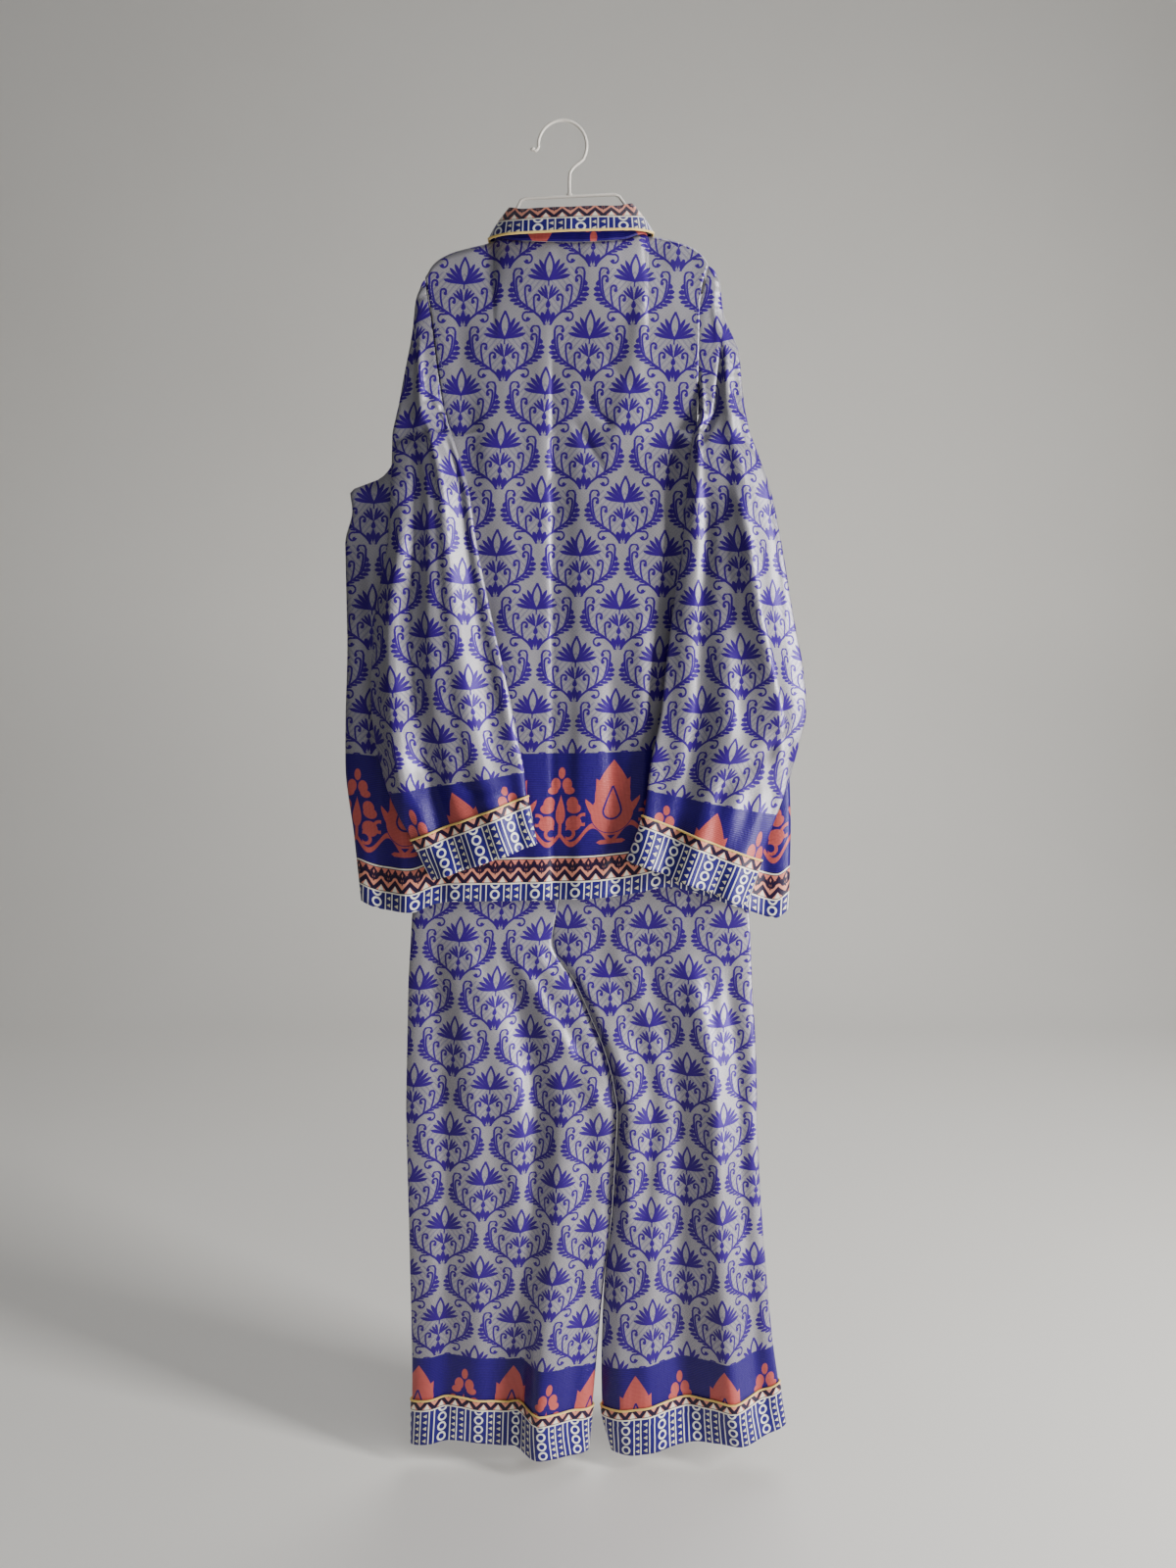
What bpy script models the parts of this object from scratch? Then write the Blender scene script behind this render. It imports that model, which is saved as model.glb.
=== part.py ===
"""A shirt and trouser set of printed silk on a wire hanger, seen from the shirt's back.

Metres, +Z up. The origin is the underside of the hook's crown. The back of the
garment faces -Y, its fronts face +Y, and the wearer's left side is at -X.
"""

import math
from bisect import bisect_right
from collections import namedtuple

import bmesh
import bpy
from mathutils import Vector

# Cloth
WALL = 0.0013
GAP = 0.0003
SEAM_HALF = WALL / 2 + GAP / 2
LAYER = WALL + GAP
TURNED_OUT = 0.0020
SHARPEST = 0.4

# Shirt
SHOULDER_Z = -0.166
HEM_Z = -0.885
NECK_X = 0.0078
NECK_HALF = 0.0858
NECK_BACK = 0.0165
NECK_FRONT = 0.0060
NECK_FADE = (-0.136, -0.260)
SEAM_ROUND = 0.0034
WIRE_ROOM = 0.0024
FRONT_X = 0.008
LAP = 0.014
LAP_OUT = 0.0019
CREASE_X = -0.0130
CREASE_DEEP = 0.0030
CREASE_WIDE = 0.016
ROLL_X = 0.0180
ROLL_STANDS = 0.0026
ROLL_WIDE = 0.030

# Sleeves and trousers
SLIT_Z = -0.318
CUFF_START = 14.0
LIE_CLEAR = 0.0028
CROTCH_Z = -0.930
TURN_UP_TALL = 0.058
WAIST_Z = -0.671
WAISTBAND_TALL = 0.040
WAIST_LEFT = -0.150
WAIST_RIGHT = 0.186
WAIST_DEEP = 0.0060

# Small pieces
BUTTON_R = 0.0055
BUTTON_THICK = 0.0024
BUTTON_SIDES = 16
BUTTON_Z = (-0.236, -0.346, -0.456, -0.566, -0.676, -0.786)
TAPE_WIDE = 0.010
TAPE_X = (-0.098, 0.124)

# Hanger
WIRE_R = 0.00175
HOOK_R = 0.02700
HOOK_X = -0.0015
STEM_X = 0.0062
BAR_Z = (-0.0815, -0.0773)
LOWER_BAR_Z = -0.186

Side = namedtuple("Side", "z left right reach_left reach_right")
SIDES = (
    Side(-0.166, -0.1562, 0.1620, -0.168, 0.176),
    Side(-0.215, -0.1495, 0.1528, -0.174, 0.178),
    Side(-0.265, -0.1432, 0.1520, -0.168, 0.176),
    Side(-0.300, -0.1380, 0.1516, -0.152, 0.164),
    Side(-0.336, -0.1318, 0.1510, -0.134, 0.153),
    Side(-0.343, -0.1650, 0.1780, -0.166, 0.179),
    Side(-0.353, -0.1930, 0.2050, -0.203, 0.206),
    Side(-0.374, -0.2050, 0.2220, -0.227, 0.223),
    Side(-0.404, -0.2460, 0.2330, -0.246, 0.233),
    Side(-0.424, -0.2440, 0.2360, -0.244, 0.236),
    Side(-0.462, -0.2530, 0.2430, -0.253, 0.243),
    Side(-0.564, -0.2530, 0.2550, -0.253, 0.255),
    Side(-0.670, -0.2573, 0.2620, -0.257, 0.262),
    Side(-0.722, -0.2584, 0.2640, -0.258, 0.264),
    Side(-0.803, -0.2502, 0.2670, -0.250, 0.267),
    Side(-0.885, -0.2435, 0.2665, -0.243, 0.266),
)

Top = namedtuple("Top", "x back front")
TOPS = (
    Top(-0.1565, -0.1670, -0.1670),
    Top(-0.1450, -0.1510, -0.1510),
    Top(-0.1240, -0.1400, -0.1400),
    Top(-0.0880, -0.1310, -0.1310),
    Top(-0.0780, -0.1285, -0.1300),
    Top(-0.0500, -0.1330, -0.1640),
    Top(0.0078, -0.1360, -0.2040),
    Top(0.0650, -0.1320, -0.1620),
    Top(0.0935, -0.1225, -0.1240),
    Top(0.1030, -0.1235, -0.1235),
    Top(0.1273, -0.1285, -0.1285),
    Top(0.1516, -0.1395, -0.1395),
    Top(0.1620, -0.1520, -0.1520),
)

Depth = namedtuple("Depth", "z back front")
DEPTHS = (
    Depth(-0.130, 0.0010, 0.0010),
    Depth(-0.200, 0.0070, 0.0060),
    Depth(-0.300, 0.0110, 0.0090),
    Depth(-0.500, 0.0145, 0.0110),
    Depth(-0.700, 0.0190, 0.0135),
    Depth(-0.886, 0.0235, 0.0150),
)

Hem = namedtuple("Hem", "x z")
HEMS = (
    Hem(-0.2440, -0.880),
    Hem(-0.2150, -0.890),
    Hem(-0.1820, -0.891),
    Hem(-0.1550, -0.882),
    Hem(-0.1300, -0.878),
    Hem(-0.0340, -0.876),
    Hem(0.0570, -0.871),
    Hem(0.1230, -0.8600),
    Hem(0.1490, -0.866),
    Hem(0.2080, -0.886),
    Hem(0.2500, -0.900),
    Hem(0.2665, -0.890),
)

# A sleeve's stations from the shoulder down: its outer and inner edge as seen,
# half its fullness, and how far a soft fold stands out of its near side.
Station = namedtuple("Station", "outer_x outer_z inner_x inner_z half fold")
Numbered = namedtuple("Numbered", ("n",) + Station._fields)
LEFT_SLEEVE = (
    Station(-0.1612, -0.1760, -0.1571, -0.1700, 0.0020, 0.0),
    Station(-0.1674, -0.1917, -0.1552, -0.1850, 0.0040, 0.0),
    Station(-0.1717, -0.2250, -0.1500, -0.2180, 0.0050, 0.0),
    Station(-0.1818, -0.2741, -0.1446, -0.2650, 0.0055, 0.002),
    Station(-0.1881, -0.3080, -0.1396, -0.3000, 0.0055, 0.003),
    Station(-0.1920, -0.3260, -0.1362, -0.3180, 0.0055, 0.003),
    Station(-0.1950, -0.3420, -0.1290, -0.3360, 0.0060, 0.003),
    Station(-0.1955, -0.3620, -0.1220, -0.3580, 0.0070, 0.003),
    Station(-0.1960, -0.4050, -0.1080, -0.4050, 0.0085, 0.004),
    Station(-0.2000, -0.4600, -0.1000, -0.4600, 0.0095, 0.005),
    Station(-0.2171, -0.5463, -0.0830, -0.5463, 0.0105, 0.006),
    Station(-0.2238, -0.6382, -0.0640, -0.6320, 0.0110, 0.006),
    Station(-0.2198, -0.6841, -0.0550, -0.6800, 0.0110, 0.005),
    Station(-0.2060, -0.7420, -0.0470, -0.7200, 0.0110, 0.004),
    Station(-0.1766, -0.8019, -0.0438, -0.7513, 0.0115, 0.003),
    Station(-0.1531, -0.8493, -0.0340, -0.8070, 0.0120, 0.003),
)
RIGHT_SLEEVE = (
    Station(0.1700, -0.1600, 0.1630, -0.1550, 0.0020, 0.0),
    Station(0.1757, -0.1720, 0.1610, -0.1690, 0.0040, 0.0),
    Station(0.1800, -0.2050, 0.1533, -0.2050, 0.0050, 0.002),
    Station(0.1980, -0.2500, 0.1532, -0.2600, 0.0055, 0.004),
    Station(0.2025, -0.2925, 0.1537, -0.3000, 0.0055, 0.005),
    Station(0.2060, -0.3180, 0.1538, -0.3180, 0.0055, 0.005),
    Station(0.2105, -0.3370, 0.1480, -0.3360, 0.0060, 0.005),
    Station(0.2190, -0.3600, 0.1440, -0.3580, 0.0070, 0.006),
    Station(0.2351, -0.4044, 0.1395, -0.4044, 0.0085, 0.007),
    Station(0.2473, -0.4591, 0.1355, -0.4591, 0.0095, 0.008),
    Station(0.2627, -0.5430, 0.1240, -0.5430, 0.0105, 0.009),
    Station(0.2760, -0.6100, 0.1165, -0.6050, 0.0110, 0.009),
    Station(0.2800, -0.6520, 0.1110, -0.6580, 0.0110, 0.008),
    Station(0.2680, -0.7100, 0.1000, -0.7100, 0.0110, 0.006),
    Station(0.2283, -0.8275, 0.0912, -0.7739, 0.0115, 0.004),
    Station(0.2110, -0.8790, 0.0735, -0.8255, 0.0120, 0.004),
)
SLEEVE_FOLD_AT = {"left": (0.45, 0.55), "right": (0.58, 0.76)}
SLEEVE_FOLD_WIDE = 0.13

Leg = namedtuple("Leg", "z left_outer inseam_left inseam_right right_outer half")
LEGS = (
    Leg(-0.671, -0.1490, 0.0177, 0.0183, 0.1850, 0.0060),
    Leg(-0.750, -0.1650, 0.0087, 0.0093, 0.2010, 0.0075),
    Leg(-0.830, -0.1770, -0.0013, -0.0007, 0.2130, 0.0085),
    Leg(-0.900, -0.1830, -0.0128, -0.0112, 0.2195, 0.0090),
    Leg(-0.930, -0.1850, -0.0190, -0.0140, 0.2215, 0.0095),
    Leg(-0.980, -0.1885, 0.0095, 0.0138, 0.2240, 0.0110),
    Leg(-1.030, -0.1903, 0.0308, 0.0352, 0.2275, 0.0120),
    Leg(-1.065, -0.1915, 0.0448, 0.0490, 0.2300, 0.0125),
    Leg(-1.108, -0.1930, 0.0562, 0.0600, 0.2315, 0.0130),
    Leg(-1.142, -0.1940, 0.0606, 0.0646, 0.2325, 0.0135),
    Leg(-1.193, -0.1938, 0.0593, 0.0620, 0.2350, 0.0140),
    Leg(-1.272, -0.1930, 0.0547, 0.0574, 0.2403, 0.0145),
    Leg(-1.352, -0.1924, 0.0460, 0.0486, 0.2470, 0.0150),
    Leg(-1.406, -0.1920, 0.0414, 0.0452, 0.2515, 0.0150),
    Leg(-1.460, -0.1918, 0.0368, 0.0441, 0.2570, 0.0150),
    Leg(-1.515, -0.1926, 0.0319, 0.0450, 0.2646, 0.0150),
    Leg(-1.572, -0.1936, 0.0258, 0.0580, 0.2730, 0.0150),
)

# Across a leg, from its inner edge (0) to its outer edge (1): how far the near
# side stands out at the hem, and where the hem lies above the lowest row.
Across = namedtuple("Across", "w left_near right_near left_lift right_lift")
ACROSS = (
    Across(0.00, 0.000, 0.000, -0.008, -0.008),
    Across(0.12, 0.012, 0.008, -0.004, -0.004),
    Across(0.28, 0.018, 0.001, 0.000, 0.003),
    Across(0.42, -0.003, -0.006, 0.002, 0.005),
    Across(0.60, -0.007, 0.000, 0.006, 0.009),
    Across(0.76, -0.003, 0.007, 0.010, 0.012),
    Across(0.90, 0.000, 0.001, 0.004, 0.018),
    Across(1.00, 0.000, 0.000, 0.000, 0.026),
)

# Round the collar, in degrees from the middle of the back.
Collar = namedtuple("Collar", "angle fold_z edge_x edge_y edge_z")
COLLAR = (
    Collar(0, -0.0985, 0.000, -0.0400, -0.1300),
    Collar(45, -0.0965, 0.066, -0.0330, -0.1285),
    Collar(78, -0.0910, 0.090, -0.0140, -0.1260),
    Collar(93, -0.0930, 0.0925, 0.0010, -0.1215),
    Collar(110, -0.1060, 0.089, 0.0160, -0.1370),
    Collar(140, -0.1430, 0.066, 0.0300, -0.1900),
    Collar(164, -0.1720, 0.042, 0.0360, -0.2360),
)
STAND_SHRINK = 0.80
STAND_TOP_Y = 0.0185
COLLAR_TILT = 0.035
FRONT_SEAM = 0.0016
STAND_END = 173
FALL_END = 164
FALL_OUT = 0.0042
FALL_UP = 0.0035

COLOURS = {
    "brocade": ((0.17, 0.13, 0.48, 1.0), 0.45, 0.0),
    "border": ((0.10, 0.06, 0.40, 1.0), 0.45, 0.0),
    "tape": ((0.55, 0.50, 0.45, 1.0), 0.7, 0.0),
    "button": ((0.75, 0.70, 0.62, 1.0), 0.3, 0.0),
    "wire": ((0.80, 0.76, 0.70, 1.0), 0.35, 0.0),
}


def clear_scene():
    for thing in list(bpy.data.objects):
        bpy.data.objects.remove(thing, do_unlink=True)


def material(name):
    found = bpy.data.materials.get(name)
    if found:
        return found
    colour, rough, metal = COLOURS[name]
    made = bpy.data.materials.new(name)
    made.use_nodes = True
    shader = made.node_tree.nodes["Principled BSDF"]
    shader.inputs["Base Color"].default_value = colour
    shader.inputs["Roughness"].default_value = rough
    shader.inputs["Metallic"].default_value = metal
    return made


def curve(table, key, column):
    """A smooth curve through two columns of a table that never overshoots its rows."""
    rows = sorted((getattr(row, key), getattr(row, column)) for row in table)
    places = [row[0] for row in rows]
    values = [row[1] for row in rows]
    slopes = [
        (values[i + 1] - values[i]) / (places[i + 1] - places[i])
        for i in range(len(rows) - 1)
    ]
    tangents = [slopes[0]]
    for before, after in zip(slopes, slopes[1:]):
        same_way = before * after > 0
        tangents.append(2 * before * after / (before + after) if same_way else 0.0)
    tangents.append(slopes[-1])

    def at(place):
        place = min(max(place, places[0]), places[-1])
        i = min(bisect_right(places, place), len(places) - 1) - 1
        width = places[i + 1] - places[i]
        t = (place - places[i]) / width
        return (
            (1 + 2 * t) * (1 - t) ** 2 * values[i]
            + t * (1 - t) ** 2 * width * tangents[i]
            + t * t * (3 - 2 * t) * values[i + 1]
            - t * t * (1 - t) * width * tangents[i + 1]
        )

    return at


def ease(start, end, value):
    """0 at start, 1 at end, smooth between them."""
    t = min(max((value - start) / (end - start), 0.0), 1.0)
    return t * t * (3 - 2 * t)


def mix(a, b, t):
    return a + (b - a) * t


def hump(place, centre, wide):
    return math.exp(-(((place - centre) / wide) ** 2))


left_edge = curve(SIDES, "z", "left")
right_edge = curve(SIDES, "z", "right")
left_reach = curve(SIDES, "z", "reach_left")
right_reach = curve(SIDES, "z", "reach_right")
top_back = curve(TOPS, "x", "back")
top_front = curve(TOPS, "x", "front")
depth_back = curve(DEPTHS, "z", "back")
depth_front = curve(DEPTHS, "z", "front")
hem_line = curve(HEMS, "x", "z")


def fullness(x, z):
    """0 at the shirt's sides and 1 in its middle."""
    left = left_reach(z)
    s = min(max((x - left) / (right_reach(z) - left), 0.0), 1.0)
    return math.sqrt(4 * s * (1 - s))


def neck_round(x):
    s = (x - NECK_X) / NECK_HALF
    return math.sqrt(max(0.0, 1 - s * s))


def off_seam(x, z, top, depth, neck_deep):
    """How far a panel stands from the plane in which the two sides of the shirt meet."""
    neck_edge = min(1.0, 2 * neck_round(x)) if top(x) - z < SEAM_ROUND else 1.0
    start = max(ease(0.0, SEAM_ROUND, top(x) - z), neck_edge)
    room = WIRE_ROOM * (1 - ease(-0.190, -0.300, z))
    neck = neck_deep * neck_round(x) * (1 - ease(NECK_FADE[0], NECK_FADE[1], z))
    return SEAM_HALF + start * (room + fullness(x, z) * depth(z)) + neck


def back_y(x, z):
    crease = CREASE_DEEP * math.exp(-abs(x - CREASE_X) / CREASE_WIDE)
    roll = ROLL_STANDS * hump(x, ROLL_X, ROLL_WIDE)
    folds = (roll - crease) * ease(-0.180, -0.420, z)
    return -off_seam(x, z, top_back, depth_back, NECK_BACK) - folds


def front_y(x, z):
    return off_seam(x, z, top_front, depth_front, NECK_FRONT)


def right_front_y(x, z):
    return front_y(x, z) + LAP_OUT * (1 - ease(FRONT_X + LAP + 0.004, 0.060, x))


def panel_point(u, fall, left, right, top, depth_y):
    """A point of a shirt panel: u runs across it, fall runs from its top edge to its hem."""
    nominal = mix(SHOULDER_Z, HEM_Z, fall)
    x = mix(left(nominal), right(nominal), u)
    z = nominal + (top(x) - SHOULDER_Z) * (1 - ease(SHOULDER_Z, -0.310, nominal))
    z += (hem_line(x) - HEM_Z) * ease(-0.600, HEM_Z, nominal)
    return Vector((x, depth_y(x, z), z))


def row_fall(row, rows, first):
    """Rows below the first are even; the first keeps the small round at the shoulder."""
    return 0.0 if row == 0 else first + (1 - first) * (row - 1) / (rows - 1)


def cloth(name, point_at, columns, rows, kind, flip=False):
    """A wall of cloth from a grid of columns by rows, moved to the points of its form."""
    work = bmesh.new()
    bmesh.ops.create_grid(work, x_segments=columns, y_segments=rows, size=0.5)
    for vert in work.verts:
        column = round((vert.co.x + 0.5) * columns)
        row = round((vert.co.y + 0.5) * rows)
        vert.co = point_at(column, row)
    bmesh.ops.remove_doubles(work, verts=work.verts, dist=0.00002)
    if flip:
        bmesh.ops.reverse_faces(work, faces=work.faces)
    thing = add_mesh(name, work, kind)
    wall = thing.modifiers.new("wall", "SOLIDIFY")
    wall.thickness = WALL
    wall.offset = 0.0
    wall.use_even_offset = True
    wall.thickness_clamp = 0.9
    return thing


def add_mesh(name, work, kind):
    mesh = bpy.data.meshes.new(name)
    work.to_mesh(mesh)
    work.free()
    mesh.materials.append(material(kind))
    mesh.shade_smooth()
    thing = bpy.data.objects.new(name, mesh)
    bpy.context.scene.collection.objects.link(thing)
    return thing


def add_panel(name, left, right, top, depth_y, columns, rows, flip):
    first = SEAM_ROUND / (SHOULDER_Z - HEM_Z)

    def point(column, row):
        fall = row_fall(row, rows, first)
        return panel_point(column / columns, fall, left, right, top, depth_y)

    return cloth(name, point, columns, rows, "brocade", flip)


def add_shirt_body():
    add_panel("shirt_back", left_edge, right_edge, top_back, back_y, 24, 18, False)

    def lap_left(z):
        return FRONT_X - LAP

    def lap_right(z):
        return FRONT_X + LAP

    add_panel("shirt_front_left", left_edge, lap_right, top_front, front_y, 13, 18, True)
    add_panel(
        "shirt_front_right", lap_left, right_edge, top_front, right_front_y, 13, 18, True
    )


def add_buttons():
    for number, z in enumerate(BUTTON_Z, 1):
        work = bmesh.new()
        bmesh.ops.create_cone(
            work,
            cap_ends=True,
            segments=BUTTON_SIDES,
            radius1=BUTTON_R,
            radius2=BUTTON_R * 0.86,
            depth=BUTTON_THICK,
        )
        thing = add_mesh(f"button_{number}", work, "button")
        proud = max(right_front_y(FRONT_X, z + reach) for reach in (-BUTTON_R, 0, BUTTON_R))
        stand = WALL / 2 + 2 * GAP + BUTTON_THICK / 2
        thing.location = (FRONT_X, proud + stand, z)
        thing.rotation_euler = (-math.pi / 2, 0, 0)


def collar_at(column, angle):
    return curve(COLLAR, "angle", column)(abs(angle))


def neck_point(angle):
    """Where the collar stand leaves the panels, at an angle from the middle of the back."""
    turn = math.radians(angle)
    x = NECK_X + NECK_HALF * math.sin(turn)
    behind = abs(angle) < 90
    top = top_back(x) if behind else top_front(x)
    y = back_y(x, top) if behind else front_y(x, top)
    return Vector((x, y, top + 2 * GAP + FRONT_SEAM * max(0.0, -math.cos(turn))))


def stand_top(angle):
    turn = math.radians(angle)
    x = NECK_X + NECK_HALF * STAND_SHRINK * math.sin(turn)
    y = -STAND_TOP_Y * math.cos(turn)
    return Vector((x, y, collar_at("fold_z", angle) - 0.0045 + COLLAR_TILT * (x - NECK_X)))


def fold_point(angle, out):
    at = stand_top(angle)
    turn = math.radians(angle)
    at.x += out * math.sin(turn)
    at.y -= out * math.cos(turn)
    return at


def add_collar():
    columns = 28

    def stand(column, row):
        angle = mix(-STAND_END, STAND_END, column / columns)
        return neck_point(angle).lerp(stand_top(angle), row / 2)

    cloth("collar_stand", stand, columns, 2, "border")

    def fall(column, row):
        angle = mix(-FALL_END, FALL_END, column / columns)
        sign = -1 if angle < 0 else 1
        lift = FRONT_SEAM * ease(60, 110, abs(angle))
        if row == 0:
            inner = fold_point(angle, GAP)
            inner.z += LAYER + 2 * GAP + lift
            return inner
        start = fold_point(angle, FALL_OUT)
        start.z += FALL_UP + lift
        out = sign * collar_at("edge_x", angle)
        low = collar_at("edge_z", angle) + COLLAR_TILT * out
        edge = Vector((NECK_X + out, collar_at("edge_y", angle), low))
        return start.lerp(edge, (row - 1) / 3)

    cloth("collar_fall", fall, columns, 4, "border", flip=True)


def sleeve_maker(table, side):
    """The sleeve's surface: around is 0 to 1 round it, along counts its stations."""
    stations = [Numbered(i, *row) for i, row in enumerate(table)]
    outer_x = curve(stations, "n", "outer_x")
    outer_z = curve(stations, "n", "outer_z")
    inner_x = curve(stations, "n", "inner_x")
    inner_z = curve(stations, "n", "inner_z")
    half = curve(stations, "n", "half")
    fold = curve(stations, "n", "fold")
    slit_station = next(i for i, row in enumerate(table) if row.inner_z <= SLIT_Z)
    last = len(table) - 1
    fold_from, fold_to = SLEEVE_FOLD_AT[side]

    def point(around, along):
        w = (1 - math.cos(2 * math.pi * around)) / 2
        near = around < 0.5
        x = mix(inner_x(along), outer_x(along), w)
        z = mix(inner_z(along), outer_z(along), w)
        swell = math.sqrt(max(0.0, 1 - w**4)) * math.sqrt(max(0.0, 1 - (1 - w) ** 4))
        lie = back_y(x, z) - LIE_CLEAR - half(along)
        closed = lie + (-1 if near else 1) * half(along) * swell
        seam_y = (back_y if near else front_y)(inner_x(along), inner_z(along))
        open_y = seam_y * math.sqrt(max(0.0, 1 - w**3))
        if along < slit_station:
            loose = ease(2.0, slit_station + 0.6, along) * (1 - (1 - w) ** 2)
        else:
            loose = 1.0 if w < 0.001 else ease(slit_station - 1.4, slit_station + 0.2, along)
        y = mix(open_y, closed, loose)
        if near:
            centre = mix(fold_from, fold_to, along / last)
            y -= fold(along) * hump(w, centre, SLEEVE_FOLD_WIDE)
        return Vector((x, y, z))

    return point, last


def moved_out(point, around, along, down_step, step, out):
    """A point of a tube moved out, so that the new wall keeps its distance at the folds."""
    here = point(around, along)
    down = here - point(around, along - down_step)
    before = (here - point((around - step) % 1.0, along)).cross(down).normalized()
    after = (point((around + step) % 1.0, along) - here).cross(down).normalized()
    between = (before + after).normalized()
    return here + between * out / max(SHARPEST, between.dot(before))


def add_sleeve(side, table):
    point, last = sleeve_maker(table, side)
    columns = 22
    rows = 2 * last - 8
    mirror = side == "right"

    def at(column, row):
        along = row * 1.0 if row <= 8 else 8 + (row - 8) * (last - 8) / (rows - 8)
        return point(column / columns, along)

    cloth(f"sleeve_{side}", at, columns, rows, "brocade", flip=mirror)

    def cuff(column, row):
        along = mix(CUFF_START, last, row / 2)
        around = (column % columns) / columns
        return moved_out(point, around, along, 0.1, 1 / columns, TURNED_OUT * sign)

    sign = -1 if mirror else 1
    cloth(f"cuff_{side}", cuff, columns, 2, "border", flip=mirror)


def leg_maker(side):
    """The leg's surface: around is 0 to 1 round it, z is its height before the hem's lift."""
    outer = curve(LEGS, "z", f"{side}_outer")
    inner = curve(LEGS, "z", f"inseam_{side}")
    half = curve(LEGS, "z", "half")
    near_out = curve(ACROSS, "w", f"{side}_near")
    lift = curve(ACROSS, "w", f"{side}_lift")
    lowest = LEGS[-1].z

    def point(around, z):
        w = (1 - math.cos(2 * math.pi * around)) / 2
        near = around < 0.5
        x = mix(inner(z), outer(z), w)
        open_swell = math.sqrt(max(0.0, 1 - w**4))
        shut_swell = open_swell * math.sqrt(max(0.0, 1 - (1 - w) ** 4))
        shut = 1 - ease(CROTCH_Z + 0.001, CROTCH_Z + 0.045, z)
        swell = mix(open_swell, shut_swell, shut)
        y = -0.001 + (-1 if near else 1) * half(z) * swell
        falls = ease(-0.860, -1.500, z)
        if near:
            y -= near_out(w) * falls
        else:
            y += 0.35 * near_out(w) * falls
        return Vector((x, y, z + lift(w) * ease(-1.250, lowest, z)))

    return point, lowest


def add_leg(side):
    point, lowest = leg_maker(side)
    columns = 22
    upper = 5
    rows = 18
    mirror = side == "right"

    def at(column, row):
        if row <= upper:
            z = mix(WAIST_Z, CROTCH_Z, row / upper)
        else:
            z = mix(CROTCH_Z, lowest, (row - upper) / (rows - upper))
        return point(column / columns, z)

    cloth(f"leg_{side}", at, columns, rows, "brocade", flip=mirror)
    sign = -1 if mirror else 1

    def turned(column, row):
        z = mix(lowest + TURN_UP_TALL, lowest, row / 2)
        around = (column % columns) / columns
        return moved_out(point, around, z, -0.01, 1 / columns, TURNED_OUT * sign)

    cloth(f"turnup_{side}", turned, columns, 2, "border", flip=mirror)


def add_waistband():
    columns = 24

    def at(column, row):
        turn = 2 * math.pi * (column % columns) / columns
        middle = (WAIST_LEFT + WAIST_RIGHT) / 2
        half = (WAIST_RIGHT - WAIST_LEFT) / 2
        round_y = abs(math.sin(turn)) ** 0.5 * (1 if math.sin(turn) > 0 else -1)
        x = middle + half * math.cos(turn)
        z = WAIST_Z + GAP * 2 + WAISTBAND_TALL * row
        return Vector((x, -0.001 + WAIST_DEEP * round_y, z))

    cloth("waistband", at, columns, 1, "brocade")


def add_tape(name, x):
    """A hanging tape, from the waistband up over the hanger's lower bar and down again."""
    turns = 8
    foot = WAIST_Z + WAISTBAND_TALL + 3 * GAP
    loop_r = WIRE_R + GAP + WALL / 2
    rows = turns + 2

    def at(column, row):
        across = x + TAPE_WIDE * (column - 0.5)
        if row in (0, rows):
            side = -1 if row == 0 else 1
            return Vector((across, -0.001 + side * WAIST_DEEP, foot))
        turn = math.pi * (row - 1) / turns
        return Vector(
            (across, -loop_r * math.cos(turn), LOWER_BAR_Z + loop_r * math.sin(turn))
        )

    cloth(name, at, 1, rows, "tape")


def wire(name, points, closed):
    path = bpy.data.curves.new(name, "CURVE")
    path.dimensions = "3D"
    path.bevel_depth = WIRE_R
    path.bevel_resolution = 2
    path.use_fill_caps = not closed
    line = path.splines.new("POLY")
    line.points.add(len(points) - 1)
    for slot, (x, z) in zip(line.points, points):
        slot.co = (x, 0.0, z, 1.0)
    line.use_cyclic_u = closed
    path.materials.append(material("wire"))
    thing = bpy.data.objects.new(name, path)
    bpy.context.scene.collection.objects.link(thing)
    return thing


def arc(centre_x, centre_z, radius, start, end, steps):
    """Points of an arc in the hanger's plane, its angles in degrees from +X towards +Z."""
    turns = [math.radians(mix(start, end, i / steps)) for i in range(steps + 1)]
    return [(centre_x + radius * math.cos(t), centre_z + radius * math.sin(t)) for t in turns]


def add_hanger():
    centre_z = WIRE_R - HOOK_R
    hook = [(-0.0345, -0.0290), (-0.0315, -0.0305)]
    hook += arc(HOOK_X, centre_z, HOOK_R, 184, -34, 14)
    hook += [(0.0125, -0.0468), (0.0080, -0.0520), (0.0063, -0.0580)]
    bar_at_stem = mix(BAR_Z[0], BAR_Z[1], 0.5)
    hook.append((STEM_X, bar_at_stem + WIRE_R + GAP))
    wire("hanger_hook", hook, closed=False)
    frame = [
        (-0.0430, BAR_Z[0]),
        (-0.0480, BAR_Z[0] - 0.0020),
        (-0.0515, -0.0900),
        (-0.0690, -0.1235),
        (-0.0755, -0.1325),
        (-0.0860, -0.1368),
        (-0.1245, -0.1450),
        (-0.1440, -0.1560),
        (-0.1500, -0.1640),
        (-0.1515, -0.1740),
        (-0.1490, -0.1820),
        (-0.1420, LOWER_BAR_Z),
        (0.1480, LOWER_BAR_Z),
        (0.1560, -0.1820),
        (0.1580, -0.1720),
        (0.1560, -0.1580),
        (0.1500, -0.1455),
        (0.1270, -0.1340),
        (0.1010, -0.1300),
        (0.0910, -0.1275),
        (0.0855, -0.1195),
        (0.0670, -0.0860),
        (0.0620, BAR_Z[1] - 0.0020),
        (0.0570, BAR_Z[1]),
    ]
    wire("hanger_frame", frame, closed=True)


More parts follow.
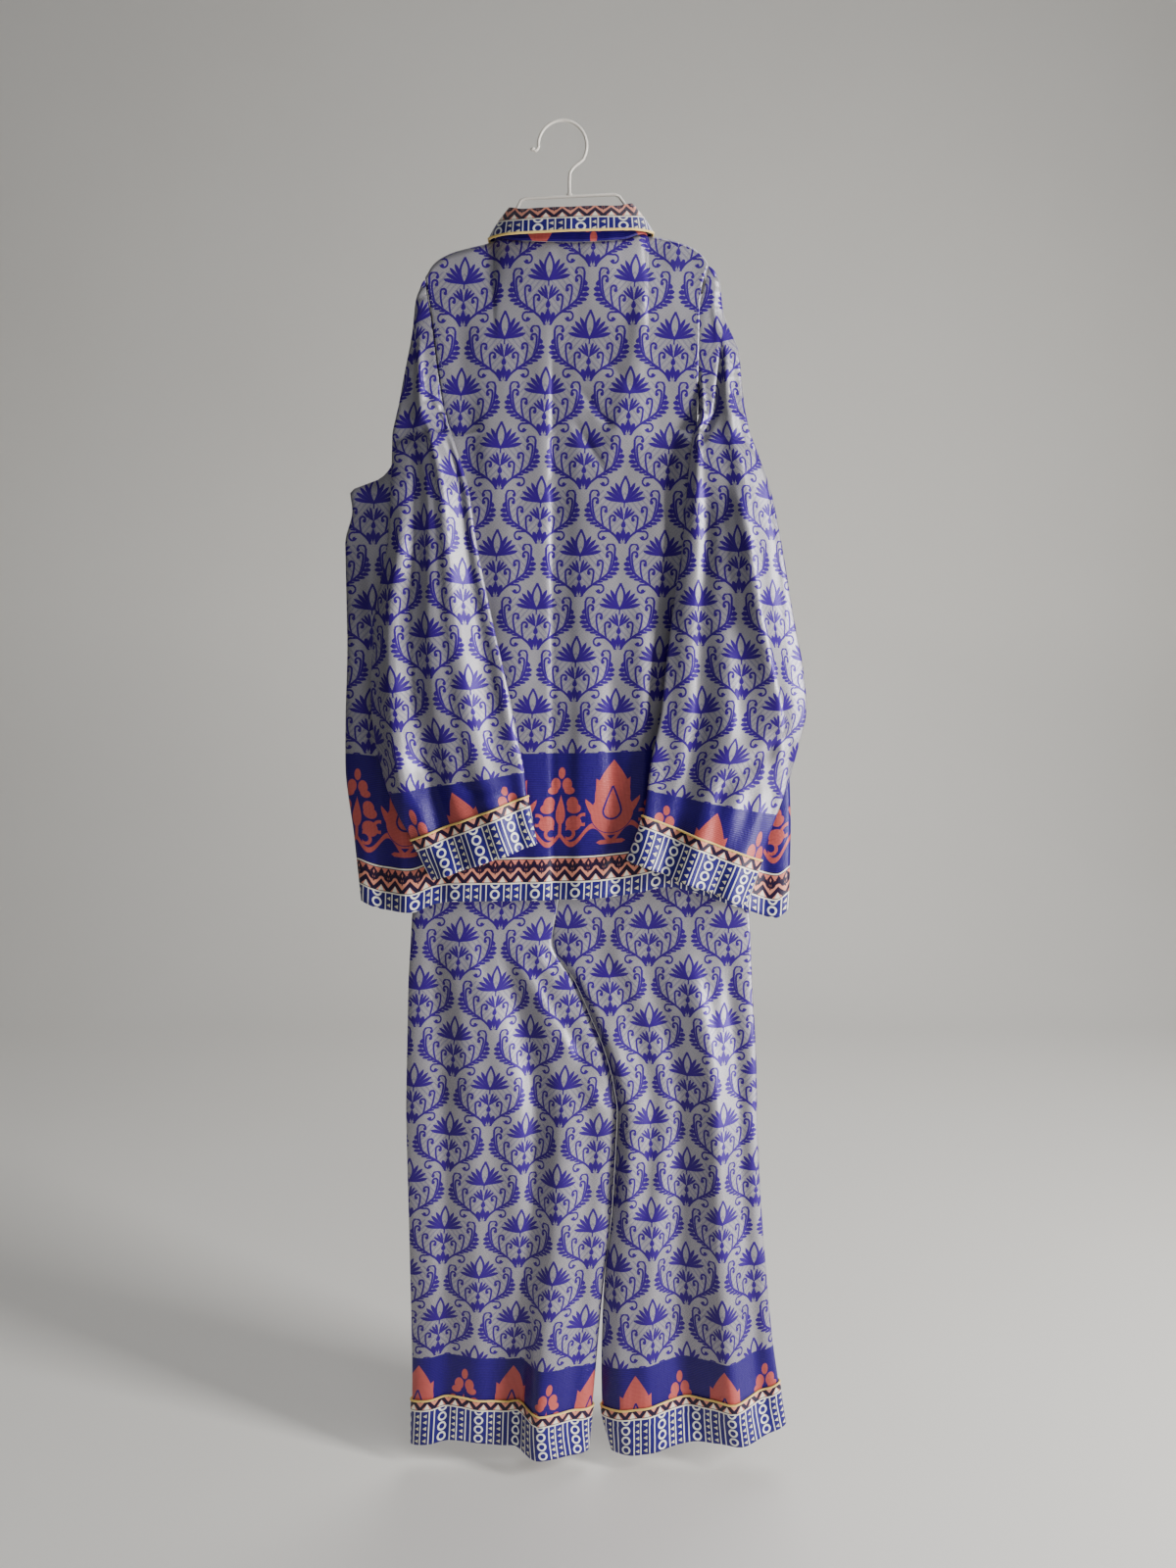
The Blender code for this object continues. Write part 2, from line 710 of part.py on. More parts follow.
def main():
    clear_scene()
    add_hanger()
    add_shirt_body()
    add_buttons()
    add_collar()
    add_sleeve("left", LEFT_SLEEVE)
    add_sleeve("right", RIGHT_SLEEVE)
    add_leg("left")
    add_leg("right")
    add_waistband()
    for name, x in zip(("tape_left", "tape_right"), TAPE_X):
        add_tape(name, x)


main()
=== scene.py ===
"""The looks of a printed silk shirt and trouser set on a wire hanger, seen from the shirt's back.

Metres, +Z up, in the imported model's own frame: the back of the garment faces -Y.
"""

import math
from bisect import bisect_right
from collections import namedtuple

import bmesh
import bpy
from bpy.props import FloatProperty, FloatVectorProperty, IntProperty, PointerProperty
from mathutils import Matrix, Vector


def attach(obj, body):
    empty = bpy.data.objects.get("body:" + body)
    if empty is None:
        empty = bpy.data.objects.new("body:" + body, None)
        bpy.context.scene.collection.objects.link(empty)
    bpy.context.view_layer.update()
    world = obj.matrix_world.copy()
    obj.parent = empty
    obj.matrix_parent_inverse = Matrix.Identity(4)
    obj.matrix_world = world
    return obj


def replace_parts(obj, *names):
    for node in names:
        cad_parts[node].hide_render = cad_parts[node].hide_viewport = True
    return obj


bl_info = {
    "name": "Printed silk set",
    "version": (1, 0, 0),
    "blender": (4, 5, 0),
    "location": "3D View > Sidebar > Silk set",
    "description": "A printed silk shirt and trousers on a wire hanger, with a plain stage",
    "category": "Object",
}

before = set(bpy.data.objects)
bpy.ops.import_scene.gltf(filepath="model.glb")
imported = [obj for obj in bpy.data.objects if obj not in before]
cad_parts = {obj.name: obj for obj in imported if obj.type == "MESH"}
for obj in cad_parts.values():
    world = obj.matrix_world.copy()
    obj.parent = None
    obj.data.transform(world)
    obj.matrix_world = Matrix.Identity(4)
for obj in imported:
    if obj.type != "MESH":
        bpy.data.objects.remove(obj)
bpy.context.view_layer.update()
BODY = "root"

# Cloth, with the number of grid steps across each piece
BACK_ACROSS = 170
FRONT_ACROSS = 60
SLEEVE_ROUND = 72
LEG_ROUND = 100
COLLAR_ROUND = 168
WAIST_ROUND = 96
TURNED_OUT = 0.0020
TURNED_PRINT_UP = 0.034
SEAM_HALF = 0.0008
LIE_CLEAR = 0.0028
SHARPEST = 0.4

# Shirt
SHOULDER_Z = -0.166
HEM_Z = -0.885
NECK_X = 0.0078
NECK_HALF = 0.0858
NECK_BACK = 0.0165
NECK_FRONT = 0.0060
NECK_FADE = (-0.136, -0.260)
SEAM_ROUND = 0.0034
WIRE_ROOM = 0.0024
WIRE_FADE = (-0.190, -0.300)
SHOULDER_FADE = -0.310
HEM_FADE = -0.600
SIDE_LOOSE = 0.45
FRONT_X = 0.008
LAP = 0.014
LAP_OUT = 0.0019
LAP_FADE = 0.060
FLAT_FRONT = (0.012, 0.045)

# Sleeves and trousers
SLIT_Z = -0.318
CUFF_START = 14.0
CUFF_ROWS = 16
CROTCH_Z = -0.930
CROTCH_OPEN = (0.001, 0.045)
LEG_FALL = (-0.860, -1.500)
HEM_LIFT = -1.250
FAR_FALL = 0.35
FAR_FOLD = 0.5
TURN_UP_TALL = 0.058
TURN_UP_ROWS = 18
WAIST_Z = -0.671
WAISTBAND_TALL = 0.040
WAIST_LEFT = -0.150
WAIST_RIGHT = 0.186
WAIST_DEEP = 0.0060

# Small pieces
BUTTON_R = 0.0055
BUTTON_Z = (-0.236, -0.346, -0.456, -0.566, -0.676, -0.786)
TAPE_WIDE = 0.010
TAPE_WEAVE = 1.1
TAPE_X = (-0.098, 0.124)

# Hanger
WIRE_R = 0.00175
WIRE_SMOOTH = 4
PIPING_SMOOTH = 3
HOOK_R = 0.02700
HOOK_X = -0.0015
STEM_X = 0.0062
BAR_Z = (-0.0815, -0.0773)
LOWER_BAR_Z = -0.186

# The print, in metres across and up the cloth, and its borders in millimetres up from the hem
PRINT_MAP = "print"
REPEAT_WIDE = 95.5
REPEAT_TALL = 120.5
HALF_WIDE = 50.0
HALF_TALL = 60.5
GRAIN_X = -0.0157
GRAIN_Z = -0.159
GRAIN_LEAN = 0.0437
THREAD = 1.5
RIB_STEP = 2.1
INK_SOFT = 0.5
FINE_INK = 0.4
INK_SPREAD = 0.3
LINE_HALF = 0.9
BAND_TOP = 179.0
LATTICE_TOP = 51.0
STRIPE_TOP = 21.0
STRIPE_STEP = 47.0
RING_STEP = 12.6
TOOTH_STEP = 8.2
BLOSSOM_STEP = 18.1
LOTUS_AT = 97.4
LOTUS_STEP = 120.0

# Second tints of the plain materials, as a colour picker shows them
SHEEN_TINT = "C8C8F4"
TAPE_SHADE = "8B8275"
PIPING_SHADE = "C79F3C"
BUTTON_SHADE = "9A8C7E"
WIRE_SHADE = "BDB5A8"
PAPER_SHADE = "E2DFD9"

# Stage
FLOOR_DROP = 0.030
CAMERA_AT = (0.027, -1.33, -0.601)
CAMERA_TILT = 84.0
CAMERA_FILM = 36.0
LIGHTS_AIM = (0.0, 0.0, -0.75)
Lamp = namedtuple("Lamp", "name place wide tall power colour")
LAMPS = (
    Lamp("key", (2.3, -1.05, -0.65), 0.5, 2.6, 165.0, (1.0, 0.985, 0.96)),
    Lamp("fill", (-1.4, -2.4, -0.5), 2.0, 2.0, 4.0, (0.93, 0.95, 1.0)),
    Lamp("over", (0.6, -1.9, 1.5), 1.2, 1.2, 11.0, (0.94, 0.96, 1.0)),
    Lamp("behind", (0.6, 1.2, 0.9), 1.6, 1.6, 22.0, (1.0, 1.0, 1.0)),
)
ROOM_COLOUR = (0.93, 0.95, 1.0)
ROOM_STRENGTH = 0.10

# Seam puckers
PUCKER_STANDS = 0.0007
PUCKER_WIDE = 0.010
PUCKER_STEP = 0.0115

# Where the print starts on each sleeve: across its near middle, and up from its last row
LEFT_SLEEVE_PRINT = (0.1035, 0.081)
RIGHT_SLEEVE_PRINT = (0.0905, 0.081)

# A leg's print hangs from one plumb column of figures: where it stands at a height, its
# lean, and how far up the print the leg's last row lies
Column = namedtuple("Column", "x z lean up")
LEG_COLUMNS = {
    "left": Column(-0.1251, -0.9190, 0.0650, 0.0645),
    "right": Column(0.0990, -0.9220, -0.0152, 0.0732),
}

Side = namedtuple("Side", "z left right reach_left reach_right")
SIDES = (
    Side(-0.166, -0.1562, 0.1620, -0.168, 0.176),
    Side(-0.215, -0.1495, 0.1528, -0.174, 0.178),
    Side(-0.265, -0.1432, 0.1520, -0.168, 0.176),
    Side(-0.300, -0.1380, 0.1516, -0.152, 0.164),
    Side(-0.336, -0.1318, 0.1510, -0.134, 0.153),
    Side(-0.343, -0.1650, 0.1780, -0.166, 0.179),
    Side(-0.353, -0.1920, 0.2050, -0.193, 0.206),
    Side(-0.374, -0.1980, 0.2220, -0.199, 0.223),
    Side(-0.388, -0.2100, 0.2280, -0.211, 0.229),
    Side(-0.404, -0.2460, 0.2330, -0.246, 0.233),
    Side(-0.424, -0.2440, 0.2360, -0.244, 0.236),
    Side(-0.462, -0.2530, 0.2430, -0.253, 0.243),
    Side(-0.564, -0.2530, 0.2550, -0.253, 0.255),
    Side(-0.670, -0.2573, 0.2620, -0.257, 0.262),
    Side(-0.722, -0.2584, 0.2640, -0.258, 0.264),
    Side(-0.803, -0.2502, 0.2670, -0.250, 0.267),
    Side(-0.885, -0.2435, 0.2665, -0.243, 0.266),
)

Top = namedtuple("Top", "x back front")
TOPS = (
    Top(-0.1565, -0.1670, -0.1670),
    Top(-0.1450, -0.1510, -0.1510),
    Top(-0.1240, -0.1400, -0.1400),
    Top(-0.0880, -0.1310, -0.1310),
    Top(-0.0780, -0.1285, -0.1300),
    Top(-0.0500, -0.1330, -0.1640),
    Top(0.0078, -0.1360, -0.2040),
    Top(0.0650, -0.1320, -0.1620),
    Top(0.0935, -0.1225, -0.1240),
    Top(0.1030, -0.1235, -0.1235),
    Top(0.1273, -0.1285, -0.1285),
    Top(0.1516, -0.1395, -0.1395),
    Top(0.1620, -0.1520, -0.1520),
)

Depth = namedtuple("Depth", "z back front")
DEPTHS = (
    Depth(-0.130, 0.0010, 0.0010),
    Depth(-0.200, 0.0070, 0.0060),
    Depth(-0.300, 0.0110, 0.0090),
    Depth(-0.500, 0.0145, 0.0110),
    Depth(-0.700, 0.0190, 0.0135),
    Depth(-0.886, 0.0235, 0.0150),
)

Hem = namedtuple("Hem", "x z")
HEMS = (
    Hem(-0.2440, -0.880),
    Hem(-0.2150, -0.890),
    Hem(-0.1820, -0.891),
    Hem(-0.1550, -0.882),
    Hem(-0.1300, -0.878),
    Hem(-0.0340, -0.876),
    Hem(0.0570, -0.871),
    Hem(0.1230, -0.8600),
    Hem(0.1490, -0.866),
    Hem(0.2080, -0.886),
    Hem(0.2500, -0.900),
    Hem(0.2665, -0.890),
)

# A sleeve's stations from the shoulder down: its outer and inner edge as seen,
# half its fullness, and how far a soft fold stands out of its near side.
Station = namedtuple("Station", "outer_x outer_z inner_x inner_z half fold")
Numbered = namedtuple("Numbered", ("n",) + Station._fields)
LEFT_SLEEVE = (
    Station(-0.1612, -0.1760, -0.1563, -0.1700, 0.0020, 0.0),
    Station(-0.1674, -0.1917, -0.1544, -0.1850, 0.0040, 0.0),
    Station(-0.1717, -0.2250, -0.1492, -0.2180, 0.0050, 0.0),
    Station(-0.1818, -0.2741, -0.1438, -0.2650, 0.0055, 0.002),
    Station(-0.1881, -0.3080, -0.1388, -0.3000, 0.0055, 0.003),
    Station(-0.1920, -0.3260, -0.1354, -0.3180, 0.0055, 0.003),
    Station(-0.1950, -0.3420, -0.1290, -0.3360, 0.0060, 0.003),
    Station(-0.1955, -0.3620, -0.1220, -0.3580, 0.0070, 0.003),
    Station(-0.1960, -0.4050, -0.1080, -0.4050, 0.0085, 0.004),
    Station(-0.2000, -0.4600, -0.1000, -0.4600, 0.0095, 0.005),
    Station(-0.2171, -0.5463, -0.0830, -0.5463, 0.0105, 0.006),
    Station(-0.2238, -0.6382, -0.0640, -0.6320, 0.0110, 0.006),
    Station(-0.2198, -0.6841, -0.0550, -0.6800, 0.0110, 0.005),
    Station(-0.2060, -0.7420, -0.0470, -0.7200, 0.0110, 0.004),
    Station(-0.1766, -0.8019, -0.0438, -0.7513, 0.0115, 0.003),
    Station(-0.1531, -0.8493, -0.0340, -0.8070, 0.0120, 0.003),
)
RIGHT_SLEEVE = (
    Station(0.1700, -0.1600, 0.1622, -0.1550, 0.0020, 0.0),
    Station(0.1757, -0.1720, 0.1602, -0.1690, 0.0040, 0.0),
    Station(0.1800, -0.2050, 0.1525, -0.2050, 0.0050, 0.002),
    Station(0.1980, -0.2500, 0.1524, -0.2600, 0.0055, 0.004),
    Station(0.2025, -0.2925, 0.1529, -0.3000, 0.0055, 0.005),
    Station(0.2060, -0.3180, 0.1530, -0.3180, 0.0055, 0.005),
    Station(0.2105, -0.3370, 0.1480, -0.3360, 0.0060, 0.005),
    Station(0.2190, -0.3600, 0.1440, -0.3580, 0.0070, 0.006),
    Station(0.2351, -0.4044, 0.1395, -0.4044, 0.0085, 0.007),
    Station(0.2473, -0.4591, 0.1355, -0.4591, 0.0095, 0.008),
    Station(0.2627, -0.5430, 0.1240, -0.5430, 0.0105, 0.009),
    Station(0.2760, -0.6100, 0.1165, -0.6050, 0.0110, 0.009),
    Station(0.2800, -0.6520, 0.1110, -0.6580, 0.0110, 0.008),
    Station(0.2680, -0.7100, 0.1000, -0.7100, 0.0110, 0.006),
    Station(0.2283, -0.8275, 0.0912, -0.7739, 0.0115, 0.004),
    Station(0.2110, -0.8790, 0.0735, -0.8255, 0.0120, 0.004),
)
SLEEVE_FOLD_AT = {"left": (0.45, 0.55), "right": (0.58, 0.76)}
SLEEVE_FOLD_WIDE = 0.13

Leg = namedtuple("Leg", "z left_outer inseam_left inseam_right right_outer half")
LEGS = (
    Leg(-0.671, -0.1490, 0.0177, 0.0183, 0.1850, 0.0060),
    Leg(-0.750, -0.1650, 0.0087, 0.0093, 0.2010, 0.0075),
    Leg(-0.830, -0.1770, -0.0013, -0.0007, 0.2130, 0.0085),
    Leg(-0.900, -0.1830, -0.0125, -0.0116, 0.2195, 0.0090),
    Leg(-0.930, -0.1850, -0.0172, -0.0160, 0.2215, 0.0095),
    Leg(-0.980, -0.1885, 0.0110, 0.0123, 0.2240, 0.0110),
    Leg(-1.030, -0.1903, 0.0324, 0.0337, 0.2275, 0.0120),
    Leg(-1.065, -0.1915, 0.0463, 0.0476, 0.2300, 0.0125),
    Leg(-1.108, -0.1930, 0.0575, 0.0588, 0.2315, 0.0130),
    Leg(-1.142, -0.1940, 0.0620, 0.0633, 0.2325, 0.0135),
    Leg(-1.193, -0.1938, 0.0600, 0.0613, 0.2350, 0.0140),
    Leg(-1.272, -0.1930, 0.0554, 0.0567, 0.2403, 0.0145),
    Leg(-1.352, -0.1924, 0.0466, 0.0480, 0.2470, 0.0150),
    Leg(-1.406, -0.1920, 0.0414, 0.0452, 0.2515, 0.0150),
    Leg(-1.460, -0.1918, 0.0368, 0.0441, 0.2570, 0.0150),
    Leg(-1.515, -0.1926, 0.0319, 0.0450, 0.2646, 0.0150),
    Leg(-1.572, -0.1936, 0.0258, 0.0580, 0.2730, 0.0150),
)

# Across a leg, from its inner edge (0) to its outer edge (1): how far the near
# side stands out at the hem, and where the hem lies above the lowest row.
Across = namedtuple("Across", "w left_near right_near left_lift right_lift")
ACROSS = (
    Across(0.00, 0.000, 0.000, -0.008, -0.008),
    Across(0.12, 0.012, 0.008, -0.004, -0.004),
    Across(0.28, 0.018, 0.001, 0.000, 0.003),
    Across(0.42, -0.003, -0.006, 0.002, 0.005),
    Across(0.60, -0.007, 0.000, 0.006, 0.009),
    Across(0.76, -0.003, 0.007, 0.010, 0.012),
    Across(0.90, 0.000, 0.001, 0.004, 0.018),
    Across(1.00, 0.000, 0.000, 0.000, 0.026),
)

# Round the collar, in degrees from the middle of the back.
Collar = namedtuple("Collar", "angle fold_z edge_x edge_y edge_z")
COLLAR = (
    Collar(0, -0.0985, 0.000, -0.0400, -0.1300),
    Collar(45, -0.0965, 0.066, -0.0330, -0.1285),
    Collar(78, -0.0910, 0.090, -0.0140, -0.1260),
    Collar(93, -0.0930, 0.0925, 0.0010, -0.1215),
    Collar(110, -0.1060, 0.089, 0.0160, -0.1370),
    Collar(140, -0.1430, 0.066, 0.0300, -0.1900),
    Collar(164, -0.1720, 0.042, 0.0360, -0.2360),
)
STAND_SHRINK = 0.775
STAND_TOP_Y = 0.0185
COLLAR_TILT = 0.035
FRONT_SEAM = 0.0016
STAND_END = 173
FALL_END = 164
FALL_OUT = 0.0042
FALL_UP = 0.0035
FALL_BELLY = 0.0016
FALL_INNER = (0.0003, 0.0022)
ROLL_HIGH = 0.0008
STAND_ROWS = 10
FALL_ROWS = 14
ROLL_ROWS = 4
STAND_PRINT = (0.012, 0.126)
FALL_PRINT = (0.0, 0.0035)

# Creases, listed one by one. Each runs from one place to another, stands out (or lies
# back where negative), and fades over its own width before and after its line.
# Power 1 is a sharp press crease, 2 a soft fold.
Crease = namedtuple("Crease", "from_u from_v to_u to_v stands before after power")
CREASE_START = 0.18
CREASE_END = 0.86
BACK_CREASES = (
    Crease(-0.0135, -0.185, -0.0150, -0.960, -0.0045, 0.0045, 0.0170, 1),
    Crease(0.0180, -0.300, 0.0190, -0.960, 0.0039, 0.0120, 0.0340, 2),
    Crease(0.0990, -0.150, 0.0550, -0.380, 0.0039, 0.0120, 0.0240, 2),
    Crease(0.0100, -0.282, 0.0560, -0.335, -0.0024, 0.0060, 0.0050, 2),
    Crease(0.0080, -0.320, 0.0480, -0.385, -0.0027, 0.0070, 0.0050, 2),
    Crease(0.0400, -0.250, 0.0900, -0.300, -0.0018, 0.0080, 0.0060, 2),
    Crease(0.1350, -0.280, 0.1120, -0.860, -0.0045, 0.0130, 0.0120, 2),
    Crease(-0.0900, -0.260, -0.0480, -0.820, 0.0036, 0.0180, 0.0200, 2),
    Crease(-0.1200, -0.200, -0.1020, -0.420, -0.0024, 0.0120, 0.0140, 2),
    Crease(0.0540, -0.560, 0.0590, -0.960, -0.0030, 0.0090, 0.0110, 2),
    Crease(0.0860, -0.500, 0.0930, -0.960, 0.0033, 0.0110, 0.0120, 2),
    Crease(-0.0560, -0.600, -0.0500, -0.960, -0.0027, 0.0100, 0.0130, 2),
    Crease(-0.2260, -0.430, -0.2150, -0.960, -0.0051, 0.0110, 0.0140, 2),
    Crease(-0.1920, -0.560, -0.1860, -0.960, 0.0060, 0.0130, 0.0130, 2),
    Crease(-0.1500, -0.640, -0.1450, -0.960, -0.0045, 0.0130, 0.0130, 2),
    Crease(0.2420, -0.660, 0.2330, -0.960, -0.0051, 0.0120, 0.0120, 2),
    Crease(0.1950, -0.640, 0.1900, -0.960, 0.0051, 0.0130, 0.0150, 2),
)
FRONT_CREASES = (
    Crease(-0.1200, -0.200, -0.0900, -0.960, 0.0036, 0.0180, 0.0220, 2),
    Crease(-0.1900, -0.450, -0.1750, -0.960, -0.0044, 0.0160, 0.0140, 2),
    Crease(-0.0600, -0.330, -0.0550, -0.960, -0.0031, 0.0140, 0.0120, 2),
    Crease(0.0950, -0.200, 0.0820, -0.960, 0.0036, 0.0150, 0.0220, 2),
    Crease(0.1450, -0.380, 0.1400, -0.960, -0.0042, 0.0140, 0.0160, 2),
    Crease(0.2050, -0.500, 0.1980, -0.960, 0.0044, 0.0160, 0.0140, 2),
    Crease(-0.2240, -0.430, -0.2180, -0.960, 0.0034, 0.0120, 0.0120, 2),
)

# On a sleeve a crease runs over w, 0 at the inner edge and 1 at the outer, and
# down its stations.
SLEEVE_CREASES = {
    "left": (
        Crease(0.34, 5.0, 0.30, 15.9, 0.0080, 0.090, 0.060, 2),
        Crease(0.10, 6.0, 0.12, 15.9, -0.0048, 0.050, 0.080, 2),
        Crease(0.62, 6.5, 0.66, 15.9, -0.0072, 0.070, 0.100, 2),
        Crease(0.84, 8.0, 0.86, 15.9, 0.0055, 0.060, 0.070, 2),
        Crease(0.80, 12.3, 0.28, 13.6, -0.0041, 0.090, 0.060, 2),
        Crease(0.60, 2.0, 0.20, 8.0, 0.0036, 0.100, 0.100, 2),
    ),
    "right": (
        Crease(0.52, 7.6, 0.90, 13.6, 0.0097, 0.060, 0.090, 1),
        Crease(0.64, 2.2, 0.06, 7.2, -0.0048, 0.070, 0.080, 2),
        Crease(0.06, 3.0, 0.10, 9.0, 0.0041, 0.060, 0.060, 2),
        Crease(0.22, 7.5, 0.30, 15.9, -0.0071, 0.070, 0.080, 2),
        Crease(0.42, 10.0, 0.50, 15.9, 0.0064, 0.070, 0.060, 2),
        Crease(0.76, 13.0, 0.70, 15.9, -0.0064, 0.080, 0.080, 2),
        Crease(0.95, 12.4, 0.40, 13.8, -0.0039, 0.080, 0.060, 2),
    ),
}

# On a leg a crease runs over w in the same way, and down to its hem.
LEG_CREASES = {
    "left": (
        Crease(0.62, -0.860, 0.26, -1.620, 0.0070, 0.060, 0.090, 2),
        Crease(0.36, -0.900, 0.40, -1.620, -0.0110, 0.080, 0.060, 2),
        Crease(0.70, -0.900, 0.62, -1.620, 0.0054, 0.080, 0.060, 2),
        Crease(0.84, -0.880, 0.82, -1.620, -0.0058, 0.060, 0.060, 2),
        Crease(0.16, -0.930, 0.10, -1.620, -0.0060, 0.050, 0.070, 2),
        Crease(0.10, -0.925, 0.18, -1.080, 0.0028, 0.040, 0.050, 2),
        Crease(0.30, -0.940, 0.08, -1.150, 0.0046, 0.040, 0.050, 2),
    ),
    "right": (
        Crease(0.03, -0.925, 0.10, -1.300, 0.0060, 0.050, 0.060, 2),
        Crease(0.24, -0.900, 0.26, -1.300, -0.0056, 0.070, 0.070, 2),
        Crease(0.42, -0.900, 0.50, -1.620, -0.0084, 0.080, 0.080, 2),
        Crease(0.66, -0.900, 0.74, -1.620, 0.0084, 0.070, 0.060, 2),
        Crease(0.86, -0.900, 0.90, -1.620, -0.0050, 0.060, 0.050, 2),
        Crease(0.30, -1.150, 0.24, -1.620, 0.0058, 0.060, 0.070, 2),
    ),
}


def curve(table, key, column):
    """A smooth curve through two columns of a table that never overshoots its rows."""
    rows = sorted((getattr(row, key), getattr(row, column)) for row in table)
    places = [row[0] for row in rows]
    values = [row[1] for row in rows]
    slopes = [
        (values[i + 1] - values[i]) / (places[i + 1] - places[i])
        for i in range(len(rows) - 1)
    ]
    tangents = [slopes[0]]
    for before, after in zip(slopes, slopes[1:]):
        same_way = before * after > 0
        tangents.append(2 * before * after / (before + after) if same_way else 0.0)
    tangents.append(slopes[-1])

    def at(place):
        place = min(max(place, places[0]), places[-1])
        i = min(bisect_right(places, place), len(places) - 1) - 1
        width = places[i + 1] - places[i]
        t = (place - places[i]) / width
        return (
            (1 + 2 * t) * (1 - t) ** 2 * values[i]
            + t * (1 - t) ** 2 * width * tangents[i]
            + t * t * (3 - 2 * t) * values[i + 1]
            - t * t * (1 - t) * width * tangents[i + 1]
        )

    return at


def ease(start, end, value):
    """0 at start, 1 at end, smooth between them."""
    t = min(max((value - start) / (end - start), 0.0), 1.0)
    return t * t * (3 - 2 * t)


def mix(a, b, t):
    """The value a share t of the way from a to b."""
    return a + (b - a) * t


def hump(place, centre, wide):
    """1 at the centre, and soft down to 0 on both sides of it."""
    return math.exp(-(((place - centre) / wide) ** 2))


def creased(creases, u, v):
    """How far the creases of a table stand out at one place."""
    out = 0.0
    for fold in creases:
        t = (v - fold.from_v) / (fold.to_v - fold.from_v)
        ends = ease(0.0, CREASE_START, t) * (1 - ease(CREASE_END, 1.0, t))
        if ends > 0.0:
            offset = u - mix(fold.from_u, fold.to_u, t)
            wide = fold.before if offset < 0 else fold.after
            out += fold.stands * ends * math.exp(-((abs(offset) / wide) ** fold.power))
    return out


left_edge = curve(SIDES, "z", "left")
right_edge = curve(SIDES, "z", "right")
left_reach = curve(SIDES, "z", "reach_left")
right_reach = curve(SIDES, "z", "reach_right")
top_back = curve(TOPS, "x", "back")
top_front = curve(TOPS, "x", "front")
depth_back = curve(DEPTHS, "z", "back")
depth_front = curve(DEPTHS, "z", "front")
hem_line = curve(HEMS, "x", "z")


def fullness(x, z):
    """0 at the shirt's sides and 1 in its middle."""
    left = left_reach(z)
    s = min(max((x - left) / (right_reach(z) - left), 0.0), 1.0)
    return math.sqrt(4 * s * (1 - s))


def neck_round(x):
    """1 at the middle of the neck opening and 0 at its ends."""
    s = (x - NECK_X) / NECK_HALF
    return math.sqrt(max(0.0, 1 - s * s))


def off_seam(x, z, top, depth, neck_deep):
    """How far a panel stands from the plane in which the two sides of the shirt meet."""
    neck_edge = min(1.0, 2 * neck_round(x)) if top(x) - z < SEAM_ROUND else 1.0
    start = max(ease(0.0, SEAM_ROUND, top(x) - z), neck_edge)
    room = WIRE_ROOM * (1 - ease(*WIRE_FADE, z))
    neck = neck_deep * neck_round(x) * (1 - ease(*NECK_FADE, z))
    return SEAM_HALF + start * (room + fullness(x, z) * depth(z)) + neck


def puckers(x, z):
    """Small ripples that the armhole seams draw into the cloth beside them."""
    if z < SLIT_Z - 0.02:
        return 0.0
    near = max(0.0, min(x - left_edge(z), right_edge(z) - x))
    return PUCKER_STANDS * math.exp(-near / PUCKER_WIDE) * math.sin(2 * math.pi * z / PUCKER_STEP)


def back_y(x, z):
    """How deep the back panel lies, with its creases and puckers."""
    loose = ease(0.0, SIDE_LOOSE, fullness(x, z))
    folds = (creased(BACK_CREASES, x, z) + puckers(x, z)) * loose
    return -off_seam(x, z, top_back, depth_back, NECK_BACK) - folds


def front_y(x, z):
    """How deep the fronts lie, flat along the button line."""
    folds = creased(FRONT_CREASES, x, z) * ease(0.0, SIDE_LOOSE, fullness(x, z))
    middle = ease(*FLAT_FRONT, abs(x - FRONT_X))
    return off_seam(x, z, top_front, depth_front, NECK_FRONT) + folds * middle


def right_front_y(x, z):
    """The right front, which laps over the left at the middle."""
    return front_y(x, z) + LAP_OUT * (1 - ease(FRONT_X + LAP + 0.004, LAP_FADE, x))


def panel_point(u, fall, left, right, top, depth_y):
    """A point of a shirt panel: u runs across it, fall runs from its top edge to its hem."""
    nominal = mix(SHOULDER_Z, HEM_Z, fall)
    x = mix(left(nominal), right(nominal), u)
    z = nominal + (top(x) - SHOULDER_Z) * (1 - ease(SHOULDER_Z, SHOULDER_FADE, nominal))
    flat_z = z
    z += (hem_line(x) - HEM_Z) * ease(HEM_FADE, HEM_Z, nominal)
    return Vector((x, depth_y(x, z), z)), flat_z - HEM_Z


def unrolled(points, start, sign, across, up):
    """Cloth coordinates of a grid: across along each row from one column, up along it."""
    heights = [up]
    for above, below in zip(points[-2::-1], points[:0:-1]):
        heights.append(heights[-1] + (above[start] - below[start]).length)
    table = []
    for row, height in zip(points, heights[::-1]):
        steps = [(b - a).length for a, b in zip(row, row[1:])]
        places = [0.0]
        for step in steps:
            places.append(places[-1] + step)
        table.append([(across + sign * (p - places[start]), height) for p in places])
    return table


def hung_print(points, column, up):
    """Cloth coordinates of a leg, or of its turn-up, from one leaning column of figures."""
    outer = (len(points[0]) - 1) // 2
    rising = points[0][outer].x > points[0][0].x
    sign = 1 if rising else -1
    table = unrolled(points, outer, sign, 0.0, up)
    placed = []
    for row, places in zip(points, table):
        middle = sum(point.z for point in row) / len(row)
        at = column.x + column.lean * (middle - column.z)
        near = min(range(1, outer), key=lambda i: abs(row[i].x - at))
        shift = row[near].x - at - places[near][0]
        placed.append([(u + shift, v) for u, v in places])
    return placed


